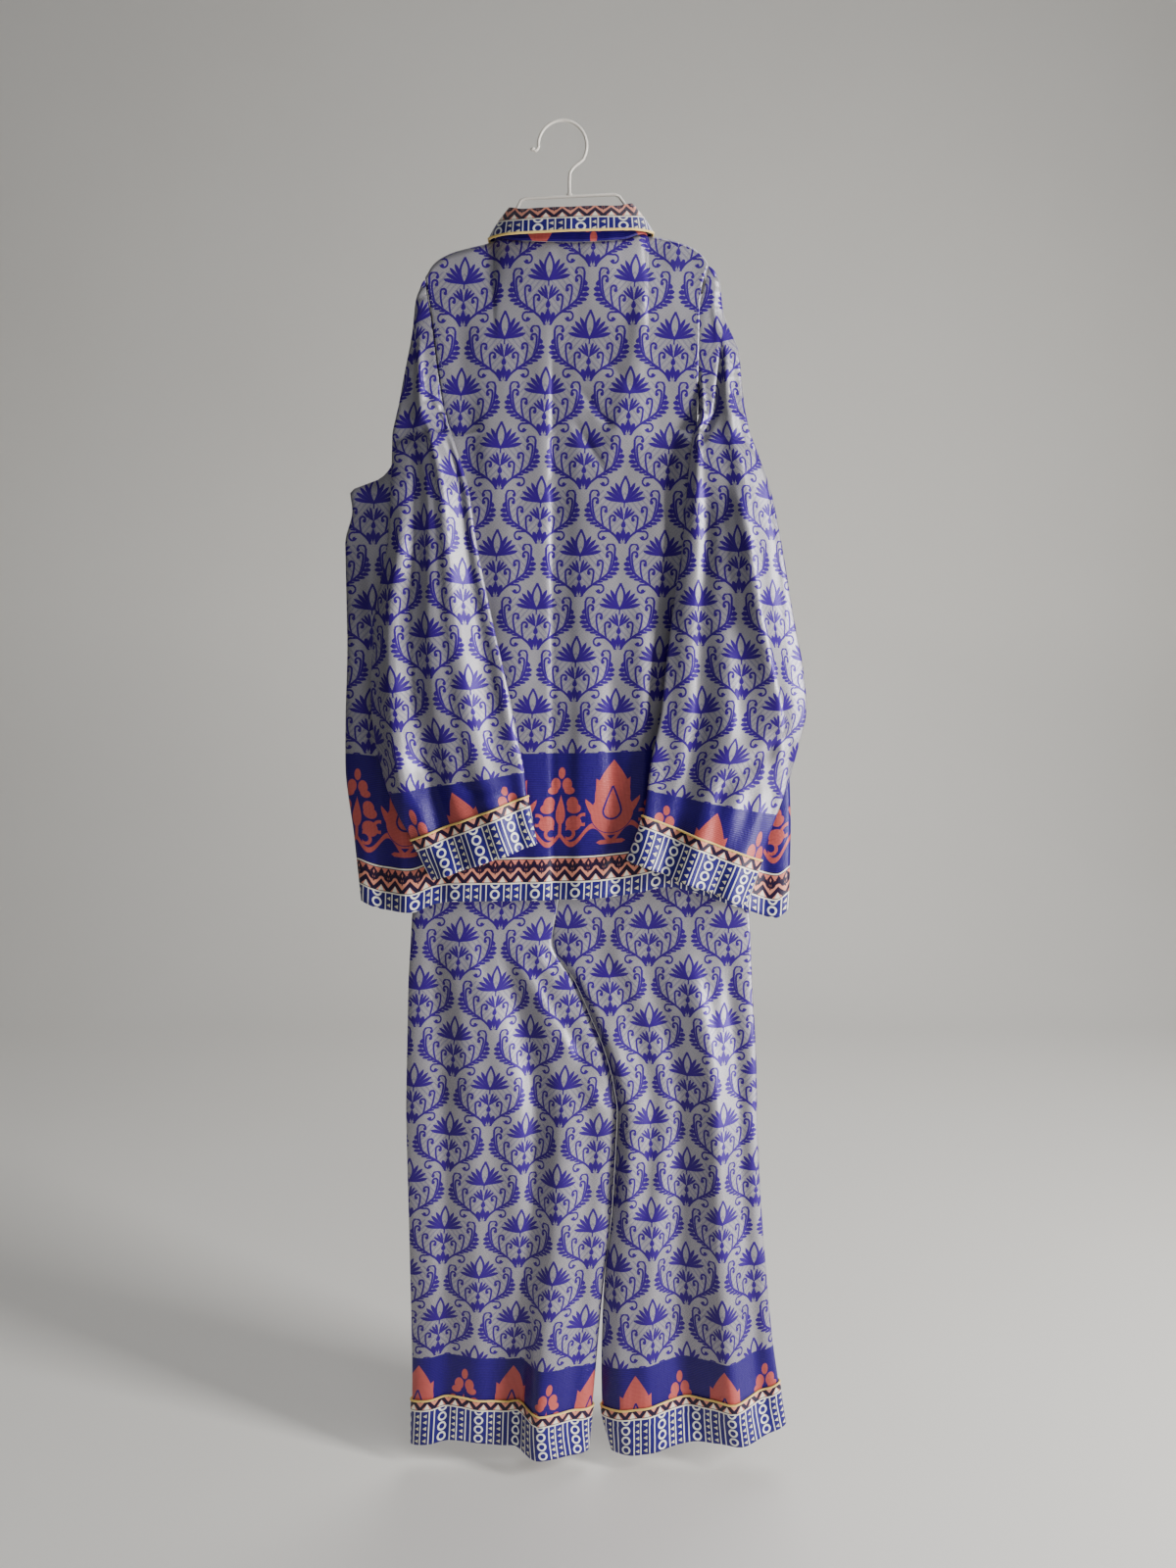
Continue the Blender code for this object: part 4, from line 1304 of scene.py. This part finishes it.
def tape_material(name):
    """Plain woven tape."""
    weaver = Weaver(name)
    colours = bpy.context.scene.silk_colours
    u, v = weaver.print_place()
    weave = (u * (2 * math.pi / TAPE_WEAVE)).step("SINE")
    weave = weave * (v * (2 * math.pi / TAPE_WEAVE)).step("SINE")
    colour = weaver.blend(colours.tape, tint(TAPE_SHADE), weave * 0.2 + 0.3)
    return weaver.finish(colour, 0.6, weaver.bump(weave, 0.0001), Sheen_Weight=0.2)


def thread_material(name, light, dark):
    """Spun thread between a light and a dark tint."""
    weaver = Weaver(name)
    cloud = weaver.noise(weaver.object_place(), 900.0)
    colour = weaver.blend(light, dark, cloud * 0.6)
    return weaver.finish(colour, 0.5, weaver.bump(cloud, 0.0002), Sheen_Weight=0.2)


def piping_material(name):
    """The yellow piping."""
    return thread_material(name, bpy.context.scene.silk_colours.piping, tint(PIPING_SHADE))


def stitch_material(name):
    """Seam thread in the ground's own colours."""
    colours = bpy.context.scene.silk_colours
    return thread_material(name, colours.thread_light, colours.thread_dark)


def button_material(name):
    """Polished buttons, faintly clouded."""
    weaver = Weaver(name)
    colours = bpy.context.scene.silk_colours
    cloud = weaver.noise(weaver.object_place(), 260.0, 4.0)
    colour = weaver.blend(colours.button, tint(BUTTON_SHADE), cloud * 0.5)
    return weaver.finish(colour, cloud * 0.15 + 0.2, weaver.bump(cloud, 0.0001), Coat_Weight=0.3)


def wire_material(name):
    """Off-white dipped wire, a little uneven and rubbed darker in places."""
    weaver = Weaver(name)
    colours = bpy.context.scene.silk_colours
    place = weaver.object_place()
    fine = weaver.noise(place, 420.0, 3.0)
    broad = weaver.noise(place, 30.0, 3.0)
    worn = weaver.blend(colours.wire, tint(WIRE_SHADE), fine * 0.4 + broad * 0.3)
    return weaver.finish(worn, fine * 0.16 + 0.24, weaver.bump(fine, 0.00012), Coat_Weight=0.25)


MATERIAL_MAKERS = {
    "brocade": silk_material,
    "border": silk_material,
    "piping": piping_material,
    "stitch": stitch_material,
    "tape": tape_material,
    "button": button_material,
    "wire": wire_material,
}


def material(name):
    """A look's material, made when it is first asked for."""
    found = bpy.data.materials.get(name + "_look")
    return found or MATERIAL_MAKERS[name](name + "_look")


class SilkSizes(bpy.types.PropertyGroup):
    """Sizes of the cloth, its trim and the stage"""

    cloth_thick: FloatProperty(
        name="Cloth thickness",
        description="Wall of every cloth piece",
        default=0.0009,
        min=0.0004,
        max=0.0013,
        unit="LENGTH",
    )
    piping_radius: FloatProperty(
        name="Piping radius",
        description="Half the thickness of the yellow piping",
        default=0.0013,
        min=0.0005,
        max=0.002,
        unit="LENGTH",
    )
    stitch_long: FloatProperty(
        name="Stitch length",
        description="Length of one stitch of a seam",
        default=0.0024,
        min=0.001,
        max=0.005,
        unit="LENGTH",
    )
    rows: IntProperty(
        name="Rows down a leg",
        description="Grid rows of a trouser leg; the other pieces follow it",
        default=150,
        min=60,
        max=200,
    )
    lens: FloatProperty(
        name="Lens", description="Focal length of the camera", default=26.0, unit="CAMERA"
    )


def colour_property(name, description, code):
    """A colour that a user can change."""
    return FloatVectorProperty(
        name=name,
        description=description,
        subtype="COLOR",
        size=3,
        min=0.0,
        max=1.0,
        default=tint(code),
    )


class SilkColours(bpy.types.PropertyGroup):
    """Colours of the print, the trim, the hanger and the stage"""

    violet: colour_property("Violet", "Figures of the brocade", "2C086C")
    violet_lit: colour_property("Lit violet", "Figures where the satin catches light", "3C108E")
    thread_dark: colour_property("Dark thread", "Dark threads of the ground", "1E1A38")
    thread_light: colour_property("Light thread", "Light threads of the ground", "9A9AB0")
    cream: colour_property("Cream", "Cream threads and lines", "F1EAD8")
    border: colour_property("Border", "Ground of the wide band", "280478")
    border_dark: colour_property("Border ribs", "Ribs of the wide band", "180152")
    coral: colour_property("Coral", "Figures of the wide band", "C8625A")
    coral_dark: colour_property("Dark coral", "Shaded threads of the coral", "8E3038")
    peach: colour_property("Peach", "Ground of the narrow band", "DE9076")
    aubergine: colour_property("Aubergine", "Dark figures and outlines", "1C0830")
    stripe: colour_property("Stripe ground", "Ground of the edge band", "211470")
    white: colour_property("White", "Rings and lines of the edge band", "F1F0E4")
    tooth: colour_property("Tooth", "Small teeth of the edge band", "E5E0B8")
    piping: colour_property("Piping", "Piping and its stitches", "F4D478")
    tape: colour_property("Tape", "Hanging tapes", "CFC7B8")
    button: colour_property("Button", "Buttons", "D8CEC0")
    wire: colour_property("Wire", "Dipped wire of the hanger", "E9E4DC")
    floor: colour_property("Floor", "Floor and backdrop", "EDEBE6")


class SILK_OT_hanger(bpy.types.Operator):
    """Bend the hanger from wire: its hook with a ball tip, and its frame"""

    bl_idname = "silk.hanger"
    bl_label = "Hanger"

    def execute(self, context):
        centre_z = WIRE_R - HOOK_R
        hook = [(-0.0345, -0.0290), (-0.0315, -0.0305)]
        hook += arc(HOOK_X, centre_z, HOOK_R, 184, -34, 28)
        hook += [(0.0125, -0.0468), (0.0080, -0.0520), (0.0063, -0.0580)]
        bar_at_stem = mix(BAR_Z[0], BAR_Z[1], 0.5)
        hook.append((STEM_X, bar_at_stem + WIRE_R + 0.0003))
        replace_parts(add_wire("hook_wire", rounded(hook, 3), closed=False), "hanger_hook")
        self.add_ball_tip(*hook[0])
        self.add_weld(bar_at_stem)
        bars = [
            (-0.0430, BAR_Z[0]),
            (-0.0480, BAR_Z[0] - 0.0020),
            (-0.0515, -0.0900),
            (-0.0690, -0.1235),
            (-0.0755, -0.1325),
            (-0.0860, -0.1368),
            (-0.1245, -0.1450),
            (-0.1440, -0.1560),
            (-0.1500, -0.1640),
            (-0.1515, -0.1740),
            (-0.1490, -0.1820),
            (-0.1420, LOWER_BAR_Z),
            (0.1480, LOWER_BAR_Z),
            (0.1560, -0.1820),
            (0.1580, -0.1720),
            (0.1560, -0.1580),
            (0.1500, -0.1455),
            (0.1270, -0.1340),
            (0.1010, -0.1300),
            (0.0910, -0.1275),
            (0.0855, -0.1195),
            (0.0670, -0.0860),
            (0.0620, BAR_Z[1] - 0.0020),
            (0.0570, BAR_Z[1]),
        ]
        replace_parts(add_wire("frame_wire", bars, closed=True), "hanger_frame")
        return {"FINISHED"}

    def add_ball_tip(self, x, z):
        """The dipped end of the wire is a small ball."""
        work = bmesh.new()
        bmesh.ops.create_uvsphere(work, u_segments=20, v_segments=14, radius=0.0026)
        bmesh.ops.scale(work, vec=(1.15, 0.85, 0.85), verts=work.verts)
        bmesh.ops.translate(work, vec=(x, 0.0, z), verts=work.verts)
        add_piece("hook_tip", work, "wire")

    def add_weld(self, z):
        """A small bead of the dip where the stem stands on the top bar."""
        work = bmesh.new()
        bmesh.ops.create_uvsphere(work, u_segments=20, v_segments=12, radius=0.0030)
        bmesh.ops.scale(work, vec=(1.25, 0.72, 0.85), verts=work.verts)
        bmesh.ops.translate(work, vec=(STEM_X, 0.0, z + WIRE_R * 0.9), verts=work.verts)
        add_piece("stem_weld", work, "wire")


class SILK_OT_shirt_body(bpy.types.Operator):
    """Hang the shirt's back and its two lapped fronts"""

    bl_idname = "silk.shirt_body"
    bl_label = "Shirt body"

    def execute(self, context):
        rows = context.scene.silk_sizes.rows

        def lap_left(z):
            return FRONT_X - LAP

        def lap_right(z):
            return FRONT_X + LAP

        add_panel(
            "shirt_back", left_edge, right_edge, top_back, back_y, BACK_ACROSS, rows, False
        )
        add_panel(
            "shirt_front_left", left_edge, lap_right, top_front, front_y, FRONT_ACROSS,
            rows // 2, True,
        )
        add_panel(
            "shirt_front_right", lap_left, right_edge, top_front, right_front_y, FRONT_ACROSS,
            rows // 2, True,
        )
        return {"FINISHED"}


class SILK_OT_sleeves(bpy.types.Operator):
    """Hang the sleeves over the back, each with its turned-back cuff"""

    bl_idname = "silk.sleeves"
    bl_label = "Sleeves and cuffs"

    def execute(self, context):
        rows = context.scene.silk_sizes.rows
        self.add_sleeve("left", LEFT_SLEEVE, LEFT_SLEEVE_PRINT, rows)
        self.add_sleeve("right", RIGHT_SLEEVE, RIGHT_SLEEVE_PRINT, rows)
        return {"FINISHED"}

    def add_sleeve(self, side, table, print_at, rows):
        """One sleeve and its cuff, with the print laid from the middle of its near side."""
        point, last = sleeve_maker(table, side)
        columns = SLEEVE_ROUND
        mirror = side == "right"
        sign = 1 if mirror else -1
        points = grid_of(
            lambda column, row: point(column / columns, last * row / rows), columns, rows
        )
        places = unrolled(points, columns // 4, sign, *print_at)
        name = f"sleeve_{side}"
        thing = cloth(name, points, places, "brocade", mirror, columns_meet=True)
        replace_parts(thing, name)

        out = -TURNED_OUT if mirror else TURNED_OUT
        points = turned_back(point, columns, CUFF_ROWS, CUFF_START, last, 0.1, out)
        tall = sum(
            (a[columns // 4] - b[columns // 4]).length for a, b in zip(points, points[1:])
        )
        places = unrolled(points, columns // 4, sign, print_at[0], TURNED_PRINT_UP - tall)
        add_turned_end("cuff", side, points, places)


class SILK_OT_collar(bpy.types.Operator):
    """Stand the collar up and fold it down, with its piped edge"""

    bl_idname = "silk.collar"
    bl_label = "Collar"

    def execute(self, context):
        columns = COLLAR_ROUND

        def stand(column, row):
            angle = mix(-STAND_END, STAND_END, column / columns)
            return neck_point(angle).lerp(stand_top(angle), row / STAND_ROWS)

        points = grid_of(stand, columns, STAND_ROWS)
        places = unrolled(points, columns // 2, 1, *STAND_PRINT)
        stand_up = cloth("collar_stand", points, places, "border")
        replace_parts(stand_up, "collar_stand")

        def fall(column, row):
            angle = mix(-FALL_END, FALL_END, column / columns)
            sign = -1 if angle < 0 else 1
            lift = FRONT_SEAM * ease(60, 110, abs(angle))
            inner = fold_point(angle, FALL_INNER[0])
            inner.z += FALL_INNER[1] + lift
            start = fold_point(angle, FALL_OUT)
            start.z += FALL_UP + lift
            if row < ROLL_ROWS:
                turn = row / ROLL_ROWS
                rolled = inner.lerp(start, math.sin(turn * math.pi / 2))
                rolled.z += ROLL_HIGH * math.sin(turn * math.pi)
                return rolled
            out = sign * collar_at("edge_x", angle)
            low = collar_at("edge_z", angle) + COLLAR_TILT * out
            edge = Vector((NECK_X + out, collar_at("edge_y", angle), low))
            t = (row - ROLL_ROWS) / (FALL_ROWS - ROLL_ROWS)
            on = start.lerp(edge, t)
            turn = math.radians(angle)
            belly = FALL_BELLY * math.sin(t * math.pi)
            on.x += belly * math.sin(turn)
            on.y -= belly * math.cos(turn)
            return on

        points = grid_of(fall, columns, FALL_ROWS)
        places = unrolled(points, columns // 2, 1, *FALL_PRINT)
        fold = cloth("collar_fall", points, places, "border", True)
        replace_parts(fold, "collar_fall")
        down = points[ROLL_ROWS:-1]
        edge = [line[0] for line in down] + points[-1] + [line[-1] for line in reversed(down)]
        trim = add_piping("collar_piping", edge, False)
        return {"FINISHED"}


class SILK_OT_trousers(bpy.types.Operator):
    """Hang the trouser legs, each with its turn-up"""

    bl_idname = "silk.trousers"
    bl_label = "Trouser legs and turn-ups"

    def execute(self, context):
        rows = context.scene.silk_sizes.rows
        for side in ("left", "right"):
            self.add_leg(side, LEG_COLUMNS[side], rows)
        return {"FINISHED"}

    def add_leg(self, side, column_at, rows):
        """One leg and its turn-up, with the print hung from its plumb column."""
        point, lowest = leg_maker(side)
        columns = LEG_ROUND
        mirror = side == "right"

        def at(column, row):
            return point(column / columns, mix(WAIST_Z, lowest, row / rows))

        points = grid_of(at, columns, rows)
        places = hung_print(points, column_at, column_at.up)
        name = f"leg_{side}"
        thing = cloth(name, points, places, "brocade", mirror, columns_meet=True)
        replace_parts(thing, name)

        out = -TURNED_OUT if mirror else TURNED_OUT
        start = lowest + TURN_UP_TALL
        points = turned_back(point, columns, TURN_UP_ROWS, start, lowest, -0.01, out)
        places = hung_print(points, column_at, TURNED_PRINT_UP - TURN_UP_TALL)
        add_turned_end("turnup", side, points, places)


class SILK_OT_waist(bpy.types.Operator):
    """Close the trousers with their waistband, on two hanging tapes"""

    bl_idname = "silk.waist"
    bl_label = "Waistband and tapes"

    def execute(self, context):
        columns = WAIST_ROUND

        def band(column, row):
            turn = 2 * math.pi * (column % columns) / columns
            middle = (WAIST_LEFT + WAIST_RIGHT) / 2
            half = (WAIST_RIGHT - WAIST_LEFT) / 2
            round_y = abs(math.sin(turn)) ** 0.5 * (1 if math.sin(turn) > 0 else -1)
            x = middle + half * math.cos(turn)
            z = WAIST_Z + 0.0006 + WAISTBAND_TALL * row / 8
            return Vector((x, -0.001 + WAIST_DEEP * round_y, z))

        points = grid_of(band, columns, 8)
        places = unrolled(points, columns // 4, 1, 0.0, 0.300)
        thing = cloth("waistband", points, places, "brocade", columns_meet=True)
        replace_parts(thing, "waistband")
        for name, x in zip(("tape_left", "tape_right"), TAPE_X):
            self.add_tape(name, x)
        return {"FINISHED"}

    def add_tape(self, name, x):
        """One tape from the waistband up over the lower bar and down again."""
        foot = WAIST_Z + WAISTBAND_TALL + 0.0009
        loop_r = WIRE_R + 0.0003 + 0.00065
        turns = 16
        runs = 30

        def at(column, row):
            across = x + TAPE_WIDE * (column / 4 - 0.5)
            if runs <= row <= runs + turns:
                turn = math.pi * (row - runs) / turns
                return Vector(
                    (across, -loop_r * math.cos(turn), LOWER_BAR_Z + loop_r * math.sin(turn))
                )
            near = row < runs
            side = -1 if near else 1
            down = 1 - row / runs if near else (row - runs - turns) / runs
            y = mix(side * loop_r, -0.001 + side * WAIST_DEEP, down)
            return Vector((across, y, mix(LOWER_BAR_Z, foot, down)))

        points = grid_of(at, 4, 2 * runs + turns)
        places = unrolled(points, 2, 1, 0.0, 0.0)
        thing = cloth(name, points, places, "tape")
        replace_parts(thing, name)


class SILK_OT_buttons(bpy.types.Operator):
    """Turn the six dished buttons, each sewn on with its thread"""

    bl_idname = "silk.buttons"
    bl_label = "Buttons"

    def execute(self, context):
        for number, z in enumerate(BUTTON_Z, 1):
            proud = max(right_front_y(FRONT_X, z + reach) for reach in (-BUTTON_R, 0, BUTTON_R))
            self.add_button(f"button_{number}", z, proud + 0.0007)
        return {"FINISHED"}

    def add_button(self, name, z, back):
        """One button turned from its half profile."""
        profile = (
            (0.0000, 0.0011),
            (0.0034, 0.0012),
            (0.0041, 0.0018),
            (0.0049, 0.0023),
            (0.0054, 0.0019),
            (0.0055, 0.0012),
            (0.0050, 0.0004),
            (0.0040, 0.0000),
            (0.0000, 0.0000),
        )
        work = bmesh.new()
        ends = [work.verts.new((radius, 0.0, rise)) for radius, rise in profile]
        edges = [work.edges.new(pair) for pair in zip(ends, ends[1:])]
        bmesh.ops.spin(
            work, geom=ends + edges, cent=(0, 0, 0), axis=(0, 0, 1), angle=2 * math.pi,
            steps=40, use_merge=True,
        )
        bmesh.ops.remove_doubles(work, verts=work.verts, dist=0.00001)
        bmesh.ops.recalc_face_normals(work, faces=work.faces)
        self.turn_to_front(work, z, back)
        button = add_piece(name + "_disc", work, "button")
        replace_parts(button, name)
        self.add_thread(name, z, back)

    def add_thread(self, name, z, back):
        """Four strands of thread across the button's dish."""
        work = bmesh.new()
        lying = Matrix.Rotation(math.pi / 2, 3, "Y")
        for beside in (-0.00105, -0.00035, 0.00035, 0.00105):
            made = bmesh.ops.create_cone(
                work, cap_ends=True, segments=10, radius1=0.00032, radius2=0.00032, depth=0.0022
            )["verts"]
            bmesh.ops.rotate(work, cent=(0, 0, 0), verts=made, matrix=lying)
            bmesh.ops.translate(work, vec=(0, beside, 0.0014), verts=made)
        self.turn_to_front(work, z, back)
        add_piece(name + "_thread", work, "piping")

    def turn_to_front(self, work, z, back):
        """Turns a piece that faces up so that it faces the front at its place."""
        for vert in work.verts:
            x, y, rise = vert.co
            vert.co = (FRONT_X - x, back + rise, z + y)


class SILK_OT_stitching(bpy.types.Operator):
    """Sew the stitches that show along the neck seam and the two armhole seams"""

    bl_idname = "silk.stitching"
    bl_label = "Stitching"

    def execute(self, context):
        step = context.scene.silk_sizes.stitch_long * 1.6
        add_stitches("neck_stitches", self.neck_line(), step)
        for side, edge in (("left", left_edge), ("right", right_edge)):
            add_stitches(f"armhole_stitches_{side}", self.armhole_line(edge), step)
        return {"FINISHED"}

    def neck_line(self):
        """The seam under the collar, along the back."""
        line = []
        for i in range(61):
            x = NECK_X + mix(-0.078, 0.078, i / 60)
            z = top_back(x) - 0.0055
            line.append(Vector((x, back_y(x, z) - 0.0007, z)))
        return line

    def armhole_line(self, edge):
        """The seam beside an armhole, down to where the sleeve comes free."""
        inward = 0.0045 if edge is left_edge else -0.0045
        line = []
        for i in range(41):
            z = mix(-0.176, SLIT_Z - 0.010, i / 40)
            x = edge(z) + inward
            line.append(Vector((x, back_y(x, z) - 0.0007, z)))
        return line


def along_line(line, step):
    """Evenly spaced places on a line, each with the line's direction there."""
    spots = []
    ahead = 0.0
    for start, end in zip(line, line[1:]):
        long = (end - start).length
        while ahead < long:
            spots.append((start.lerp(end, ahead / long), (end - start).normalized()))
            ahead += step
        ahead -= long
    return spots


def add_stitches(name, line, step):
    """A row of stitches: each is a slim drop of thread with a few faces."""
    long = bpy.context.scene.silk_sizes.stitch_long
    work = bmesh.new()
    for place, direction in along_line(line, step):
        made = bmesh.ops.create_icosphere(work, subdivisions=1, radius=0.5)["verts"]
        bmesh.ops.scale(work, vec=(long, 0.0006, 0.0006), verts=made)
        turn = Vector((1, 0, 0)).rotation_difference(direction).to_matrix()
        bmesh.ops.rotate(work, cent=(0, 0, 0), matrix=turn, verts=made)
        bmesh.ops.translate(work, vec=place, verts=made)
    return add_piece(name, work, "stitch")


class SILK_OT_stage(bpy.types.Operator):
    """Set the pale floor and backdrop, the soft lights and the camera"""

    bl_idname = "silk.stage"
    bl_label = "Stage"

    def execute(self, context):
        self.add_sweep()
        self.add_lights()
        self.add_camera(context.scene)
        return {"FINISHED"}

    def add_sweep(self):
        """A floor that rounds up into a plain backdrop well behind the set."""
        floor_z = LEGS[-1].z - FLOOR_DROP
        work = bmesh.new()
        front = [work.verts.new((x, -4.5, floor_z)) for x in (-5.0, 5.0)]
        edge = work.edges.new(front)
        run = bmesh.ops.extrude_edge_only(work, edges=[edge])["geom"]
        verts = [part for part in run if isinstance(part, bmesh.types.BMVert)]
        edges = [part for part in run if isinstance(part, bmesh.types.BMEdge)]
        bmesh.ops.translate(work, vec=(0, 6.2, 0), verts=verts)
        turned = bmesh.ops.spin(
            work, geom=verts + edges, cent=(0, 1.7, floor_z + 1.2), axis=(1, 0, 0),
            angle=math.pi / 2, steps=24,
        )["geom_last"]
        top = bmesh.ops.extrude_edge_only(
            work, edges=[part for part in turned if isinstance(part, bmesh.types.BMEdge)]
        )["geom"]
        bmesh.ops.translate(
            work, vec=(0, 0, 3.5), verts=[part for part in top if isinstance(part, bmesh.types.BMVert)]
        )
        bmesh.ops.recalc_face_normals(work, faces=work.faces)
        mesh = bpy.data.meshes.new("sweep")
        work.to_mesh(mesh)
        work.free()
        mesh.shade_smooth()
        sweep = bpy.data.objects.new("sweep", mesh)
        bpy.context.scene.collection.objects.link(sweep)
        weaver = Weaver("paper")
        cloud = weaver.noise(weaver.object_place(), 1.5, 3.0)
        floor = bpy.context.scene.silk_colours.floor
        colour = weaver.blend(floor, tint(PAPER_SHADE), cloud * 0.5)
        mesh.materials.append(weaver.finish(colour, 0.85))

    def add_lights(self):
        """Soft lights from the right, the front, above and behind, in a dim room."""
        for row in LAMPS:
            lamp = bpy.data.lights.new(row.name, "AREA")
            lamp.shape = "RECTANGLE"
            lamp.size = row.wide
            lamp.size_y = row.tall
            lamp.energy = row.power
            lamp.color = row.colour
            holder = bpy.data.objects.new(row.name, lamp)
            holder.location = row.place
            aim = Vector(LIGHTS_AIM) - Vector(row.place)
            holder.rotation_euler = aim.to_track_quat("-Z", "Y").to_euler()
            bpy.context.scene.collection.objects.link(holder)
        world = bpy.data.worlds.new("room")
        world.use_nodes = True
        air = world.node_tree.nodes["Background"]
        air.inputs["Color"].default_value = (*ROOM_COLOUR, 1.0)
        air.inputs["Strength"].default_value = ROOM_STRENGTH
        bpy.context.scene.world = world

    def add_camera(self, scene):
        """The camera where the photograph was taken from."""
        eye = bpy.data.cameras.new("camera")
        eye.sensor_fit = "VERTICAL"
        eye.sensor_height = CAMERA_FILM
        eye.lens = scene.silk_sizes.lens
        holder = bpy.data.objects.new("camera", eye)
        holder.location = CAMERA_AT
        holder.rotation_euler = (math.radians(CAMERA_TILT), 0.0, 0.0)
        scene.collection.objects.link(holder)
        scene.camera = holder


class SILK_PT_panel(bpy.types.Panel):
    """The set's pieces, in the order in which they are made"""

    bl_idname = "SILK_PT_panel"
    bl_label = "Silk set"
    bl_space_type = "VIEW_3D"
    bl_region_type = "UI"
    bl_category = "Silk set"

    def draw(self, context):
        for name in MAKING_ORDER:
            self.layout.operator("silk." + name)
        for group in (context.scene.silk_sizes, context.scene.silk_colours):
            for key in group.__annotations__:
                self.layout.prop(group, key)


MAKING_ORDER = (
    "hanger", "shirt_body", "sleeves", "collar", "buttons", "trousers", "waist", "stitching",
    "stage",
)
CLASSES = (
    SilkSizes, SilkColours, SILK_OT_hanger, SILK_OT_shirt_body, SILK_OT_sleeves,
    SILK_OT_collar, SILK_OT_buttons, SILK_OT_trousers, SILK_OT_waist, SILK_OT_stitching,
    SILK_OT_stage, SILK_PT_panel,
)


def register():
    """Registers the classes and hangs the sizes and colours on the scene."""
    for each in CLASSES:
        bpy.utils.register_class(each)
    bpy.types.Scene.silk_sizes = PointerProperty(type=SilkSizes)
    bpy.types.Scene.silk_colours = PointerProperty(type=SilkColours)


def unregister():
    """Undoes register."""
    del bpy.types.Scene.silk_colours
    del bpy.types.Scene.silk_sizes
    for each in reversed(CLASSES):
        bpy.utils.unregister_class(each)


def main():
    """Makes every piece in order."""
    register()
    for name in MAKING_ORDER:
        getattr(bpy.ops.silk, name)()


if __name__ == "__main__":
    main()
